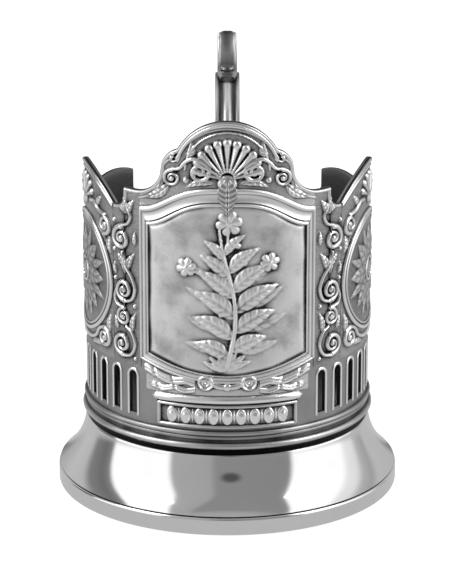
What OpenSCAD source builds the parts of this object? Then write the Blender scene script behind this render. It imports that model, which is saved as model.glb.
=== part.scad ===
// Holder for a tea glass: a pierced, rolled metal body on a flared foot, with one handle.
// Origin: the centre of the foot on the table. +Z is up, the front panel faces -Y,
// and the handle stands at the back, on +Y. Azimuths count from the front towards +X.

/* [Glass] */
// Outer diameter of the tea glass
glass_d = 67; // [62:0.5:72]
// Room between the glass and the body, on each side
glass_clearance = 0.5; // [0.3:0.1:1.2]

/* [Body sheet] */
// Thickness of the rolled body sheet
sheet_t = 0.9; // [0.7:0.1:1.3]
// Height of the body from its lower edge to the low stretches of its front rim
body_h = 59.6; // [56:0.2:68]
// Height of the front rim's shoulders above its low stretches
shoulder_rise = 4.7; // [3:0.1:7]
// Height of the front crest above the shoulders
crest_rise = 18.5; // [16:0.5:22]
// Azimuth at which the front crest's flank stands, in degrees
crest_az = 26.4; // [24:0.2:29]
// Azimuth at which the shoulders end, in degrees
shoulder_az = 44.4; // [43:0.2:46]
// Azimuth of the lowest place between the front rim and the side rim, in degrees
valley_az = 50; // [49:0.5:51]
// Azimuth of the middle of each side rim, in degrees
side_az = 77; // [75:0.5:79]
// Height of the side rim's arch above the low stretches
side_rise = 6.8; // [5:0.2:9]
// Drop of the rear rim below the low stretches
rear_drop = 4.2; // [3:0.2:6]
// Further drop of the rim beside the handle
notch_drop = 7.1; // [5:0.1:9]
// Angle from the handle to the edge of that drop, in degrees
notch_az = 44.6; // [40:0.2:50]
// Width of the flange that the body's lower edge is turned into
flange_w = 5; // [4:0.5:7]

/* [Slots] */
// Width of a slot
slot_w = 2.4; // [1.6:0.1:3]
// Height of a slot
slot_h = 10.8; // [8:0.2:12]
// Height of the slots' lower ends above the body's lower edge
slot_lift = 8; // [7.4:0.1:9]
// Azimuth of the first slot, in degrees
slot_az = 40.6; // [39:0.2:42]
// Angle between slots, in degrees
slot_pitch = 9.3; // [8:0.1:11]
// Number of slots on each side
slot_count = 13; // [6:1:13]

/* [Base collar] */
// Height of the moulded collar round the body's lower edge
collar_h = 6.2; // [4.6:0.2:6.4]
// Thickness of the collar's band
collar_t = 0.4; // [0.3:0.1:0.8]
// Diameter of the collar's two round beads
collar_bead_d = 1.5; // [1.1:0.1:2]

/* [Foot] */
// Diameter of the foot
foot_d = 85; // [80:1:94]
// Height of the foot
foot_h = 18; // [15:0.5:24]
// Thickness of the foot's sheet
foot_t = 0.9; // [0.7:0.1:1.4]
// Height of the turned ring round the bottom
foot_rim_h = 4.8; // [3:0.1:6]
// Thickness of the turned ring
foot_rim_t = 2.3; // [2.2:0.1:3.4]
// Rounding of the turned ring's outer corners
foot_rim_round = 0.7; // [0.4:0.1:1]
// Step between the turned ring and the flared sheet
foot_step = 0.3; // [0.2:0.1:0.6]
// Ledge of the foot outside the body
foot_ledge = 0.5; // [0.3:0.1:1]

/* [Glass seat] */
// Thickness of the disc that the glass stands on
seat_t = 1; // [0.8:0.1:1.6]
// Diameter of the drain hole in the disc
drain_d = 8; // [4:1:10]
// Number of rivets that hold the disc, the body and the foot together
seat_rivets = 6; // [4:1:8]
// Diameter of those rivets
seat_rivet_d = 2.4; // [1.6:0.2:2.8]
// Clearance between parts that fit into each other
fit = 0.05; // [0.02:0.01:0.1]

/* [Front panel] */
// Azimuth of the front panel's sides, in degrees
panel_az = 36; // [34:0.5:37.5]
// Height of the panel's lower corners above the body's lower edge
panel_lift = 22.6; // [21.5:0.1:24]
// Distance from the shoulders down to the panel's upper corners
panel_margin = 3.6; // [3:0.1:5]
// Rise of the panel's upper edge from the corners to the middle
panel_arch = 5.9; // [4:0.1:7]
// Drop of the panel's lower edge from the corners to the middle
panel_sag = 4.3; // [3:0.1:4.5]
// Width of the frame's sides
frame_side_w = 2; // [1.4:0.1:2.6]
// Width of the frame's upper band
frame_top_w = 4.5; // [3:0.1:5]
// Width of the frame's lower band
frame_bottom_w = 2; // [1.4:0.1:2.4]
// Thickness of the frame
frame_t = 1.1; // [0.9:0.1:1.4]
// Thickness of the relief plate inside the frame
plate_t = 0.5; // [0.3:0.1:0.6]
// Height of the leaf spray on the plate
spray_t = 0.9; // [0.5:0.1:1.2]

/* [Name plate] */
// Azimuth of the name plate's ends, in degrees
name_az = 28.6; // [26:0.2:31]
// Height of the name plate's lower edge above the body's lower edge
name_lift = 6.7; // [6.6:0.1:7.2]
// Height of the name plate
name_h = 6.1; // [5:0.1:6.2]
// Thickness of the name plate
name_t = 0.9; // [0.7:0.1:1.2]
// Height of the roll moulding above the name plate
roll_h = 2.2; // [1.6:0.1:2.3]

/* [Crest ornament] */
// Number of ribs in the palmette
palmette_ribs = 7; // [5:2:9]
// Thickness of the palmette
palmette_t = 1.1; // [0.8:0.1:1.4]
// Thickness of the crest's scrolls
crest_scroll_t = 0.9; // [0.6:0.1:1.2]
// Width of the wire round the rim
rim_wire_w = 1; // [0.8:0.1:1.3]
// Thickness of the wire round the rim
rim_wire_t = 0.8; // [0.5:0.1:1]

/* [Scroll columns] */
// Azimuth of the scroll columns, in degrees
column_az = 44.5; // [44:0.1:45]
// Thickness of the scroll columns
column_t = 0.9; // [0.6:0.1:1.2]

/* [Side medallions] */
// Half the angle that a medallion covers, in degrees
medallion_span = 25.6; // [24:0.1:26]
// Width of a medallion's frame
medallion_frame_w = 1.8; // [1.2:0.1:2.4]
// Thickness of a medallion's frame
medallion_frame_t = 0.9; // [0.7:0.1:1.2]
// Number of petals in a medallion's rosette
petal_count = 8; // [6:1:12]

/* [Handle] */
// Width of the handle's strip
handle_w = 6.4; // [5:0.2:8]
// Thickness of the handle's strip
handle_t = 1.8; // [1.4:0.1:2.4]
// Width of the ridge along the strip
ridge_w = 2.2; // [1.6:0.1:2.8]
// Height of the ridge along the strip
ridge_t = 0.6; // [0.4:0.1:1]
// Height of the handle's top above the low stretches of the front rim
handle_rise = 12; // [8:0.2:16]
// Reach of the handle from the body
handle_reach = 38; // [34:0.5:44]
// Height of the lower arm above the body's lower edge
handle_foot = 18.4; // [17.4:0.2:22]
// Radius of the bend at the lower arm's end
foot_bend_r = 4.6; // [3:0.1:5]
// Height of the rear rim's tab behind the handle
tab_rise = 3.4; // [2:0.2:5]
// Length of the handle's upper leg, along the body
upper_leg = 17; // [14:0.5:20]
// Length of the handle's lower leg, along the body
lower_leg = 6.4; // [5:0.2:7]
// Width of the butt strap over the body's seam
strap_w = 9; // [8.2:0.2:12]
// Thickness of the butt strap
strap_t = 0.6; // [0.4:0.1:0.8]
// Diameter of the handle's rivets
handle_rivet_d = 2; // [1.4:0.2:2.4]

/* [Thumb rest] */
// Width of the thumb rest
thumb_w = 5.2; // [4:0.2:6]
// Thickness of the thumb rest
thumb_t = 1.4; // [1:0.1:2]
// Height of the thumb rest's tip above the handle's top
thumb_rise = 9.3; // [7:0.1:12]

/* [Hidden] */

// Colours of the finishes
polished = [0.82, 0.83, 0.84];
bright = [0.76, 0.76, 0.77];
patina = [0.5, 0.5, 0.51];

// Number of pieces in a full circle of a true round form
round_fn = 96;
// Number of straight pieces in an arc of an outline
arc_steps = 6;
// Length by which a cut or a blank runs past what it cuts
overrun = foot_t;

// Radii of the body
well_r = glass_d / 2 + glass_clearance;
body_r = well_r + sheet_t;
reach = body_r + foot_d;

// Heights of the body
base_z = foot_h;
valley_z = base_z + body_h;
shoulder_z = valley_z + shoulder_rise;
crest_z = shoulder_z + crest_rise;
side_top_z = valley_z + side_rise;
rear_z = valley_z - rear_drop;
notch_z = rear_z - notch_drop;
tab_z = notch_z + tab_rise;
top_z = max(crest_z, side_top_z) + overrun;

// Half the width, seen from the front, of what ends at an azimuth
function chord(az) = body_r * sin(az);

// Front rim: a dome on two balls, coves down to the shoulders, coves down to the valleys
crest_half = chord(crest_az);
shoulder_half = chord(shoulder_az);
valley_half = chord(valley_az);
dome_r = crest_half * 0.85;
ball_r = crest_half * 0.32;
dome_at = [0, crest_z - dome_r];
crest_cove_r = crest_rise * 0.35;
ball_at = [crest_half - ball_r, shoulder_z + crest_cove_r];
valley_cove_r = (valley_half - shoulder_half) * 0.9;

// Side rims: an arch that falls further to the rear rim
side_half = chord(side_az - valley_az);
side_arch_r = (side_half * side_half + side_rise * side_rise) / (2 * side_rise);
side_arch_z = side_top_z - side_arch_r;
side_rear_half = sqrt(pow(side_arch_r, 2) - pow(rear_z - side_arch_z, 2));
rear_az = side_az + asin(side_rear_half / body_r);

// Rear rim: a low bump on each side, a drop towards the handle, and a tab behind it
rear_half = chord(rear_az);
notch_half = chord(notch_az);
notch_foot_half = notch_half * 0.91;
notch_step_z = (rear_z + 2 * notch_z) / 3;
bump_half = (rear_half - notch_half) / 2;
bump_rise = rear_drop / 4;
tab_half = strap_w / 2 + sheet_t;
tab_cove_r = tab_rise * 0.8;

// Foot: the flare is one arc between the ledge and the turned ring
foot_r = foot_d / 2;
bell_top_r = body_r + foot_ledge;
bell_foot_r = foot_r - foot_step;
flare_w = bell_foot_r - bell_top_r;
flare_h = foot_h - foot_rim_h;
flare_chord = sqrt(flare_w * flare_w + flare_h * flare_h);
flare_r = flare_chord * 1.27;
flare_lift = sqrt(flare_r * flare_r - flare_chord * flare_chord / 4);
flare_x = (bell_top_r + bell_foot_r) / 2 + flare_lift * flare_h / flare_chord;
flare_z = (foot_h + foot_rim_h) / 2 + flare_lift * flare_w / flare_chord;
flange_r = well_r - flange_w;
flange_z = foot_h - foot_t;

// Glass seat and its rivets
seat_z = base_z + sheet_t;
seat_top_z = seat_z + seat_t;
seat_rivet_ring_r = well_r - flange_w / 2;
seat_rivet_head_r = seat_rivet_d * 0.78;
seat_rivet_head_t = seat_t / 2;

// Front panel
panel_half = chord(panel_az);
panel_top_z = shoulder_z - panel_margin;
panel_low_z = base_z + panel_lift;
panel_steps = 24;
arch_power = 1.7;
frame_step_t = frame_t * 0.6;
spray_low_z = panel_low_z + frame_bottom_w;
spray_h = (panel_top_z - frame_top_w - spray_low_z) * 0.86;
spray_w = panel_half - frame_side_w;
stem_w = plate_t * 2.1;

// Name plate, and the bow between it and the panel
name_half = chord(name_az);
name_z = base_z + name_lift;
roll_z = name_z + name_h;
roll_top_z = roll_z + roll_h;
bow_h = panel_low_z - panel_sag - roll_top_z;
rosette_r = bow_h * 0.56;
rosette_x = rosette_r * 2.75;
rosette_z = roll_top_z + rosette_r * 1.6;
wing_start_share = 0.38;
wing_end_share = 0.9;
name_beads = 9;

// Crest ornament
palmette_at = [0, shoulder_z + crest_rise * 0.19];
palmette_r = crest_rise * 0.61;
rib_angle = 17;
volute_r = palmette_r * 0.22;
scroll_turns = 1.4;
crest_leaf_angle = 118;
crest_scroll_r = crest_half * 0.15;
crest_scroll_at = [crest_half * 0.83, shoulder_z + crest_rise * 0.19];

// Scroll columns: places along the column, sizes of the scrolls and the ways they wind
column_low_z = base_z + slot_lift + slot_h + slot_w;
column_h = valley_z - slot_w - column_low_z;
column_half = chord((side_az - medallion_span - panel_az) / 2) * 0.86;
column_place_shares = [0.1, 0.31, 0.52, 0.87];
column_size_shares = [0.85, 0.66, 0.78, 0.92];
column_hands = [1, -1, 1, -1];
column_leaf_angle = 32;

// Side medallions
medallion_r = chord(medallion_span);
medallion_z = base_z + body_h * 0.655;
rosette_field_r = medallion_r - medallion_frame_w - fit;
petal_t = plate_t * 1.8;

// Handle: a centre line in the plane X = 0, made of legs and quarter ellipses
strap_r = body_r + strap_t;
leg_sag = 1.4 * (strap_r - sqrt(strap_r * strap_r - handle_w * handle_w / 4));
leg_y = strap_r + handle_t / 2 - leg_sag;
handle_top_z = valley_z + handle_rise;
handle_low_z = base_z + handle_foot;
arm_w = handle_reach * 0.52;
arm_h = handle_top_z - tab_z;
back_w = handle_reach - arm_w;
back_h = back_w;
back_z = handle_top_z - back_h;
arm_y = leg_y + arm_w;
upper_leg_z = tab_z - upper_leg;
lower_leg_z = handle_low_z - foot_bend_r - lower_leg;
arc_angle = 7.5;
handle_rivet_head_r = handle_rivet_d * 0.85;
handle_rivet_head_t = handle_rivet_d * 0.35;
inner_head_t = glass_clearance * 0.7;
upper_rivet_shares = [0.24, 0.68];

// Thumb rest: a tab that lies on the strip, then an arc that curls up to the tip
tab_steps = 2;
thumb_tip_angle = 75;
thumb_lay = (handle_t + thumb_t) / 2;

// Shared functions

// Points on an arc round c, from angle a0 to angle a1
function arc_points(c, r, a0, a1, n = arc_steps) =
    [for (i = [0 : n]) c + r * [cos(a0 + (a1 - a0) * i / n), sin(a0 + (a1 - a0) * i / n)]];

// The angle, seen from c0, at which circle 0 meets circle 1 on its upper side
function meeting_angle(c0, r0, c1, r1) =
    let (d = norm(c1 - c0), a = (r0 * r0 - r1 * r1 + d * d) / (2 * d))
    atan2(c1[1] - c0[1], c1[0] - c0[0]) + acos(a / r0);

// The points of the left half, from left to right, before those of the right half
function both_halves(points) =
    concat([for (i = [len(points) - 1 : -1 : 0]) [-points[i][0], points[i][1]]], points);

// What lies between an edge and the height z
function edge_to(points, z) =
    concat(points, [[points[len(points) - 1][0], z], [points[0][0], z]]);

// A spiral band that winds inwards from radius r
function scroll_points(r, w, turns, n) = concat(
    [for (i = [0 : n]) let (a = 360 * turns * i / n) (r - (r - w) * i / n) * [cos(a), sin(a)]],
    [for (i = [n : -1 : 0]) let (a = 360 * turns * i / n)
        (r - (r - w) * i / n - w * (1 - i / n / 2)) * [cos(a), sin(a)]]);

// A leaf that stands on its stem and ends in a point
function leaf_points(length, width, n) = concat(
    [for (i = [0 : n]) [width / 2 * sin(180 * pow(i / n, 0.8)), length * i / n]],
    [for (i = [n - 1 : -1 : 1]) [-width / 2 * sin(180 * pow(i / n, 0.8)), length * i / n]]);

// A place on an ellipse and its outward direction
function on_ellipse(c, w, h, a) =
    [c + [w * cos(a), h * sin(a)], [h * cos(a), w * sin(a)] / norm([h * cos(a), w * sin(a)])];

// The outline of a strip between two distances from a line of places and directions
function strip_points(line, low, high) = concat(
    [for (q = line) q[0] + q[1] * high],
    [for (i = [len(line) - 1 : -1 : 0]) line[i][0] + line[i][1] * low]);

// Shared forms

// A tube round the Z axis
module tube(r_in, r_out, z0, z1) {
    difference() {
        translate([0, 0, z0]) cylinder(r = r_out, h = z1 - z0, $fn = round_fn);
        translate([0, 0, z0 - overrun])
            cylinder(r = r_in, h = z1 - z0 + 2 * overrun, $fn = round_fn);
    }
}

// A flat outline pushed outwards in the direction of azimuth az, from a distance on
module towards(az, from = 0) {
    rotate([0, 0, az]) rotate([90, 0, 0]) translate([0, 0, from])
        linear_extrude(height = reach) children();
}

// A flat outline laid on the body's wall at azimuth az, as relief of thickness t over a layer
module on_body(az, t, layer = 0) {
    intersection() {
        towards(az) children();
        tube(body_r + layer, body_r + layer + t, base_z, top_z);
    }
}

// A flat outline in the plane X = 0, widened evenly to both sides
module across(w) {
    rotate([90, 0, 90]) translate([0, 0, -w / 2]) linear_extrude(height = w) children();
}

// A round hole or shank through the wall at the back, at height z
module rear_pin(r, z, y0, y1) {
    translate([0, y0, z]) rotate([-90, 0, 0]) cylinder(r = r, h = y1 - y0, $fn = round_fn / 2);
}

// A spiral band round a small ball
module scroll(r, w, turns, hand) {
    mirror([hand > 0 ? 0 : 1, 0]) {
        polygon(scroll_points(r, w, turns, 4 * arc_steps));
        circle(r = w, $fn = round_fn / 4);
    }
}

// A leaf turned from upright
module leaf(length, width, angle) {
    rotate(angle) polygon(leaf_points(length, width, arc_steps + 2));
}

// Flat shapes drawn out by a hair, so that they run together into one outline
module blended() {
    offset(delta = fit) children();
}

// The edges of the rim, from left to right, moved down into the sheet by inset

function front_half_edge(inset) =
    let (join_az = meeting_angle(dome_at, dome_r - inset, ball_at, ball_r - inset),
        join = dome_at + (dome_r - inset) * [cos(join_az), sin(join_az)],
        ball_az = atan2(join[1] - ball_at[1], join[0] - ball_at[0]),
        cove_at = [crest_half + crest_cove_r, shoulder_z + crest_cove_r],
        valley_at = [shoulder_half + valley_cove_r, valley_z + valley_cove_r])
    concat(
        arc_points(dome_at, dome_r - inset, 90, join_az, 2 * arc_steps),
        arc_points(ball_at, ball_r - inset, ball_az - arc_angle, 0),
        arc_points(cove_at, crest_cove_r + inset, 180, 270),
        [[shoulder_half - inset, shoulder_z - inset]],
        arc_points(valley_at, valley_cove_r + inset, 180, 270));

function front_edge(inset, past) =
    both_halves(concat(front_half_edge(inset), [[valley_half + past, valley_z - inset]]));

function side_edge(inset, past) =
    let (r = side_arch_r - inset,
        front_a = 180 - asin((valley_z - inset - side_arch_z) / r),
        rear_a = asin((rear_z - inset - side_arch_z) / r))
    concat(
        [[-side_half - past, valley_z - inset]],
        arc_points([0, side_arch_z], r, front_a - arc_angle / 4, rear_a, 3 * arc_steps),
        [[side_rear_half + past, rear_z - inset]]);

function rear_half_edge(inset) = concat(
    [[0, tab_z - inset], [tab_half - inset, tab_z - inset]],
    arc_points([tab_half + tab_cove_r, notch_z + tab_cove_r], tab_cove_r + inset, 180, 270),
    [[notch_foot_half, notch_z - inset], [notch_half + inset, notch_step_z - inset]],
    [for (i = [0 : 2 * arc_steps]) let (s = i / arc_steps - 1)
        [notch_half + inset + (bump_half - inset / 2) * (1 + s),
            rear_z + bump_rise * (1 - s * s) - inset]]);

function rear_side_edge(inset, past) =
    concat(rear_half_edge(inset), [[rear_half + past, rear_z - inset]]);

// Foot

module foot_rim_ring() {
    corner_x = foot_rim_t - foot_rim_round;
    color(polished) rotate_extrude($fn = round_fn) translate([foot_r - foot_rim_t, 0]) {
        square([corner_x, foot_rim_h]);
        translate([0, foot_rim_round]) square([foot_rim_t, foot_rim_h - 2 * foot_rim_round]);
        for (z = [foot_rim_round, foot_rim_h - foot_rim_round])
            translate([corner_x, z]) circle(r = foot_rim_round, $fn = round_fn);
    }
}

module foot_bell() {
    color(polished) difference() {
        rotate_extrude($fn = round_fn) {
            intersection() {
                translate([flare_x, flare_z]) difference() {
                    circle(r = flare_r + foot_t, $fn = round_fn);
                    circle(r = flare_r, $fn = round_fn);
                }
                translate([flange_r, foot_rim_h]) square([foot_r - flange_r, flare_h]);
            }
            translate([flange_r, flange_z]) square([bell_top_r - foot_t / 2 - flange_r, foot_t]);
        }
        seat_rivet_places() cylinder(r = seat_rivet_d / 2, h = foot_h, $fn = round_fn / 2);
    }
}

// Glass seat

module seat_rivet_places() {
    for (i = [0 : seat_rivets - 1])
        rotate(360 * (i + 0.5) / seat_rivets)
            translate([seat_rivet_ring_r, 0, flange_z - overrun]) children();
}

module glass_seat() {
    color(bright) difference() {
        translate([0, 0, seat_z]) cylinder(r = well_r - fit, h = seat_t, $fn = round_fn);
        translate([0, 0, base_z]) cylinder(r = drain_d / 2, h = foot_h, $fn = round_fn);
        seat_rivet_places() cylinder(r = seat_rivet_d / 2, h = foot_h, $fn = round_fn / 2);
        seat_rivet_places() translate([0, 0, seat_top_z - seat_rivet_head_t - flange_z + overrun])
            cylinder(r = seat_rivet_head_r + fit, h = foot_h, $fn = round_fn / 2);
    }
}

module seat_rivets() {
    grip = seat_top_z - flange_z;
    color(polished) seat_rivet_places() translate([0, 0, overrun - seat_rivet_head_t]) {
        cylinder(r = seat_rivet_d / 2, h = grip + seat_rivet_head_t, $fn = round_fn / 2);
        for (z = [0, grip]) translate([0, 0, z])
            cylinder(r = seat_rivet_head_r, h = seat_rivet_head_t, $fn = round_fn / 2);
    }
}

// Body

module slot() {
    translate([-slot_w / 2, base_z + slot_lift]) square([slot_w, slot_h - slot_w / 2]);
    translate([0, base_z + slot_lift + slot_h - slot_w / 2]) circle(d = slot_w, $fn = round_fn / 2);
}

module handle_rivet_holes() {
    for (z = concat(upper_rivet_heights(), [lower_rivet_z()]))
        rear_pin(handle_rivet_d / 2, z, well_r - overrun, leg_y + handle_t);
}

module body_shell() {
    color(patina) difference() {
        union() {
            tube(well_r, body_r, base_z, top_z);
            tube(flange_r, well_r + sheet_t / 2, base_z, seat_z);
        }
        towards(0) polygon(edge_to(front_edge(0, overrun), top_z + overrun));
        towards(180) polygon(edge_to(both_halves(rear_side_edge(0, overrun)), top_z + overrun));
        for (side = [0, 1]) mirror([side, 0, 0])
            towards(side_az) polygon(edge_to(side_edge(0, overrun), top_z + overrun));
        for (side = [-1, 1], i = [0 : slot_count - 1])
            towards(side * (slot_az + slot_pitch * i), well_r - overrun) slot();
        seat_rivet_places() cylinder(r = seat_rivet_d / 2, h = foot_h, $fn = round_fn / 2);
        handle_rivet_holes();
    }
}

module base_collar() {
    bead_r = collar_bead_d / 2;
    color(patina) rotate_extrude($fn = round_fn) translate([body_r, base_z]) intersection() {
        union() {
            square([collar_t, collar_h]);
            for (z = [bead_r, collar_h - bead_r])
                translate([collar_t, z]) circle(r = bead_r, $fn = round_fn / 2);
        }
        square([collar_t + collar_bead_d, collar_h]);
    }
}

// Wires round the rim

module crest_rim_wire() {
    color(bright) on_body(0, rim_wire_t) difference() {
        polygon(edge_to(front_edge(0, 0), notch_z));
        polygon(edge_to(front_edge(rim_wire_w, overrun), notch_z - overrun));
    }
}

module side_rim_wire() {
    color(bright) on_body(side_az, rim_wire_t) difference() {
        polygon(edge_to(side_edge(0, 0), notch_z));
        polygon(edge_to(side_edge(rim_wire_w, overrun), notch_z - overrun));
    }
}

module side_rim_wire_right() side_rim_wire();
module side_rim_wire_left() mirror([1, 0, 0]) side_rim_wire();

module rear_rim_wire() {
    color(bright) on_body(180, rim_wire_t) difference() {
        polygon(edge_to(rear_side_edge(0, 0), upper_leg_z));
        polygon(edge_to(rear_side_edge(rim_wire_w, overrun), upper_leg_z - overrun));
        square([strap_w / 2 + fit, top_z]);
    }
}

module rear_rim_wire_right() mirror([1, 0, 0]) rear_rim_wire();
module rear_rim_wire_left() rear_rim_wire();

// Front panel

// The panel's outline, drawn in by the widths of the frame's sides and bands
function panel_low_edge(x, half) = panel_low_z - panel_sag * (1 - pow(x / half, 2));
function panel_top_edge(x, half) =
    panel_top_z + panel_arch * (1 + cos(180 * pow(abs(x / half), arch_power))) / 2;

module panel_outline(side_in, top_in, low_in) {
    half = panel_half - side_in;
    places = [for (i = [0 : panel_steps]) half * (2 * i / panel_steps - 1)];
    polygon(concat(
        [for (x = places) [x, panel_low_edge(x, half) + low_in]],
        [for (x = places) [-x, panel_top_edge(x, half) - top_in]]));
}

module rosette_places() {
    for (side = [-1, 1]) translate([side * rosette_x, rosette_z]) children();
}

module panel_frame() {
    color(bright) {
        on_body(0, frame_step_t) difference() {
            panel_outline(0, 0, 0);
            panel_outline(frame_side_w, frame_top_w, frame_bottom_w);
            rosette_places() circle(r = rosette_r + fit, $fn = round_fn / 2);
        }
        on_body(0, frame_t) difference() {
            panel_outline(0, 0, 0);
            panel_outline(frame_side_w / 2, frame_top_w * 0.7, frame_bottom_w / 2);
            rosette_places() circle(r = rosette_r + fit, $fn = round_fn / 2);
        }
    }
}

module panel_plate() {
    color(bright) on_body(0, plate_t)
        panel_outline(frame_side_w + fit, frame_top_w + fit, frame_bottom_w + fit);
}

// A leafy branch: a wavy stem, pairs of leaves and a round blossom
spray_place_shares = [0.1, 0.27, 0.44, 0.62, 0.78];
spray_spread_shares = [0.4, 0.45, 0.45, 0.36, 0.26];
spray_climb_shares = [0.15, 0.2, 0.23, 0.21, 0.17];

function stem_at(s) = [spray_w * 0.07 * sin(300 * s), spray_h * s];

module spray_shape() {
    steps = [for (i = [0 : 2 * arc_steps]) i / arc_steps / 2];
    translate([0, spray_low_z]) {
        polygon(strip_points([for (s = steps) [stem_at(s), [1, 0]]], -stem_w / 2, stem_w / 2));
        for (i = [0 : len(spray_place_shares) - 1], side = [-1, 1])
            let (spread = spray_w * spray_spread_shares[i], climb = spray_h * spray_climb_shares[i])
            translate(stem_at(spray_place_shares[i] + (side > 0 ? 0.06 : 0)))
                leaf(norm([spread, climb]), spread * 0.5, -side * atan2(spread, climb));
        translate(stem_at(1)) circle(r = spray_w * 0.13, $fn = round_fn / 2);
    }
}

module panel_spray() {
    color(patina) on_body(0, spray_t, plate_t) blended() spray_shape();
}

// Name plate and the bow above it

module name_plate() {
    border = name_h * 0.13;
    step_t = name_t / 2;
    bead_pitch = 2 * (name_half - border) / name_beads;
    color(patina) {
        on_body(0, step_t) translate([-name_half, name_z]) square([2 * name_half, name_h]);
        on_body(0, name_t) {
            translate([-name_half, name_z]) difference() {
                square([2 * name_half, name_h]);
                translate([border, border]) square([2 * (name_half - border), name_h - 2 * border]);
            }
            for (i = [0 : name_beads - 1])
                translate([(i - (name_beads - 1) / 2) * bead_pitch, name_z + name_h / 2])
                    circle(r = name_h * 0.22, $fn = round_fn / 4);
        }
    }
}

module name_plate_roll() {
    roll_half = name_half + roll_h / 2;
    color(bright) intersection() {
        rotate_extrude($fn = round_fn) translate([body_r, roll_z]) intersection() {
            translate([0, roll_h / 2]) circle(r = roll_h / 2, $fn = round_fn / 2);
            square(roll_h);
        }
        towards(0) translate([-roll_half, name_z]) square([2 * roll_half, roll_top_z]);
    }
}

module ribbon_bow() {
    color(bright) {
        on_body(0, frame_step_t) {
            rosette_places() circle(r = rosette_r, $fn = round_fn / 2);
            translate([-rosette_x, rosette_z - rosette_r * 0.7]) square([2 * rosette_x, rosette_r * 0.65]);
        }
        on_body(0, frame_t) rosette_places() {
            circle(r = rosette_r * 0.3, $fn = round_fn / 4);
            difference() {
                circle(r = rosette_r, $fn = round_fn / 2);
                circle(r = rosette_r * 0.72, $fn = round_fn / 2);
            }
        }
    }
}

module ribbon_wing() {
    x0 = panel_half * wing_start_share;
    x1 = panel_half * wing_end_share;
    places = [for (i = [0 : arc_steps]) x0 + (x1 - x0) * i / arc_steps];
    edge = [for (x = places) [x, panel_low_edge(x, panel_half) - fit]];
    color(bright) on_body(0, frame_step_t) polygon(edge_to(edge, roll_top_z + fit));
}

module ribbon_wing_right() ribbon_wing();
module ribbon_wing_left() mirror([1, 0, 0]) ribbon_wing();

// Crest ornament

module above_panel() {
    difference() {
        children();
        panel_outline(-fit, -fit, 0);
    }
}

module crest_palmette() {
    tip_r = palmette_r * sin(rib_angle / 2) * 0.8;
    rib_h = palmette_r - tip_r;
    color(bright) {
        on_body(0, palmette_t / 2) above_panel()
            translate(palmette_at) circle(r = palmette_r * 0.66, $fn = round_fn);
        on_body(0, palmette_t) above_panel() {
            translate(palmette_at) {
                circle(r = palmette_r * 0.24, $fn = round_fn / 2);
                for (i = [0 : palmette_ribs - 1]) rotate(rib_angle * (i - (palmette_ribs - 1) / 2)) {
                    polygon([[-tip_r / 3, 0], [tip_r / 3, 0], [tip_r, rib_h], [-tip_r, rib_h]]);
                    translate([0, rib_h]) circle(r = tip_r, $fn = round_fn / 4);
                }
            }
            for (side = [-1, 1]) translate([side * palmette_r * 0.62, palmette_at[1] + palmette_r * 0.02])
                scroll(volute_r, volute_r * 0.26, scroll_turns, side);
        }
    }
}

module crest_scroll() {
    color(bright) on_body(0, crest_scroll_t) translate(crest_scroll_at) blended() {
        scroll(crest_scroll_r, crest_scroll_r * 0.26, scroll_turns, 1);
        translate([crest_scroll_r * 0.75, crest_scroll_r * 0.15])
            leaf(crest_scroll_r * 2.8, crest_scroll_r * 0.9, -crest_leaf_angle);
    }
}

module crest_scroll_right() crest_scroll();
module crest_scroll_left() mirror([1, 0, 0]) crest_scroll();

// Scroll columns

function column_at(s) = [column_half * 0.3 * sin(720 * s), column_h * s];

module scroll_column() {
    w = column_half * 0.17;
    steps = [for (i = [0 : 4 * arc_steps]) i / arc_steps / 4];
    color(bright) on_body(column_az, column_t) translate([0, column_low_z]) blended() {
        polygon(strip_points([for (s = steps) [column_at(s), [1, 0]]], -w, w));
        for (i = [0 : len(column_hands) - 1]) translate([0, column_h * column_place_shares[i]])
            let (r = column_half * column_size_shares[i])
            scroll(r, r * 0.24, scroll_turns, column_hands[i]);
        for (side = [-1, 1]) translate(column_at(0.6))
            leaf(column_half * 1.5, column_half * 0.55, side * column_leaf_angle);
    }
}

module scroll_column_right() scroll_column();
module scroll_column_left() mirror([1, 0, 0]) scroll_column();

// Side medallions

module medallion_frame() {
    color(bright) on_body(side_az, medallion_frame_t) translate([0, medallion_z]) difference() {
        circle(r = medallion_r, $fn = round_fn);
        circle(r = medallion_r - medallion_frame_w, $fn = round_fn);
    }
}

module medallion_plate() {
    color(patina) {
        on_body(side_az, plate_t) translate([0, medallion_z]) circle(r = rosette_field_r, $fn = round_fn);
        on_body(side_az, petal_t) translate([0, medallion_z]) {
            for (i = [0 : petal_count - 1])
                leaf(rosette_field_r * 0.9, rosette_field_r * 0.36, 360 * i / petal_count);
            circle(r = rosette_field_r * 0.22, $fn = round_fn / 2);
        }
    }
}

module medallion_frame_right() medallion_frame();
module medallion_frame_left() mirror([1, 0, 0]) medallion_frame();
module medallion_plate_right() medallion_plate();
module medallion_plate_left() mirror([1, 0, 0]) medallion_plate();

// Handle

// Heights of the rivets through the handle's legs
function upper_rivet_heights() = [for (s = upper_rivet_shares) upper_leg_z + upper_leg * s];
function lower_rivet_z() = lower_leg_z + lower_leg / 2;

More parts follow.
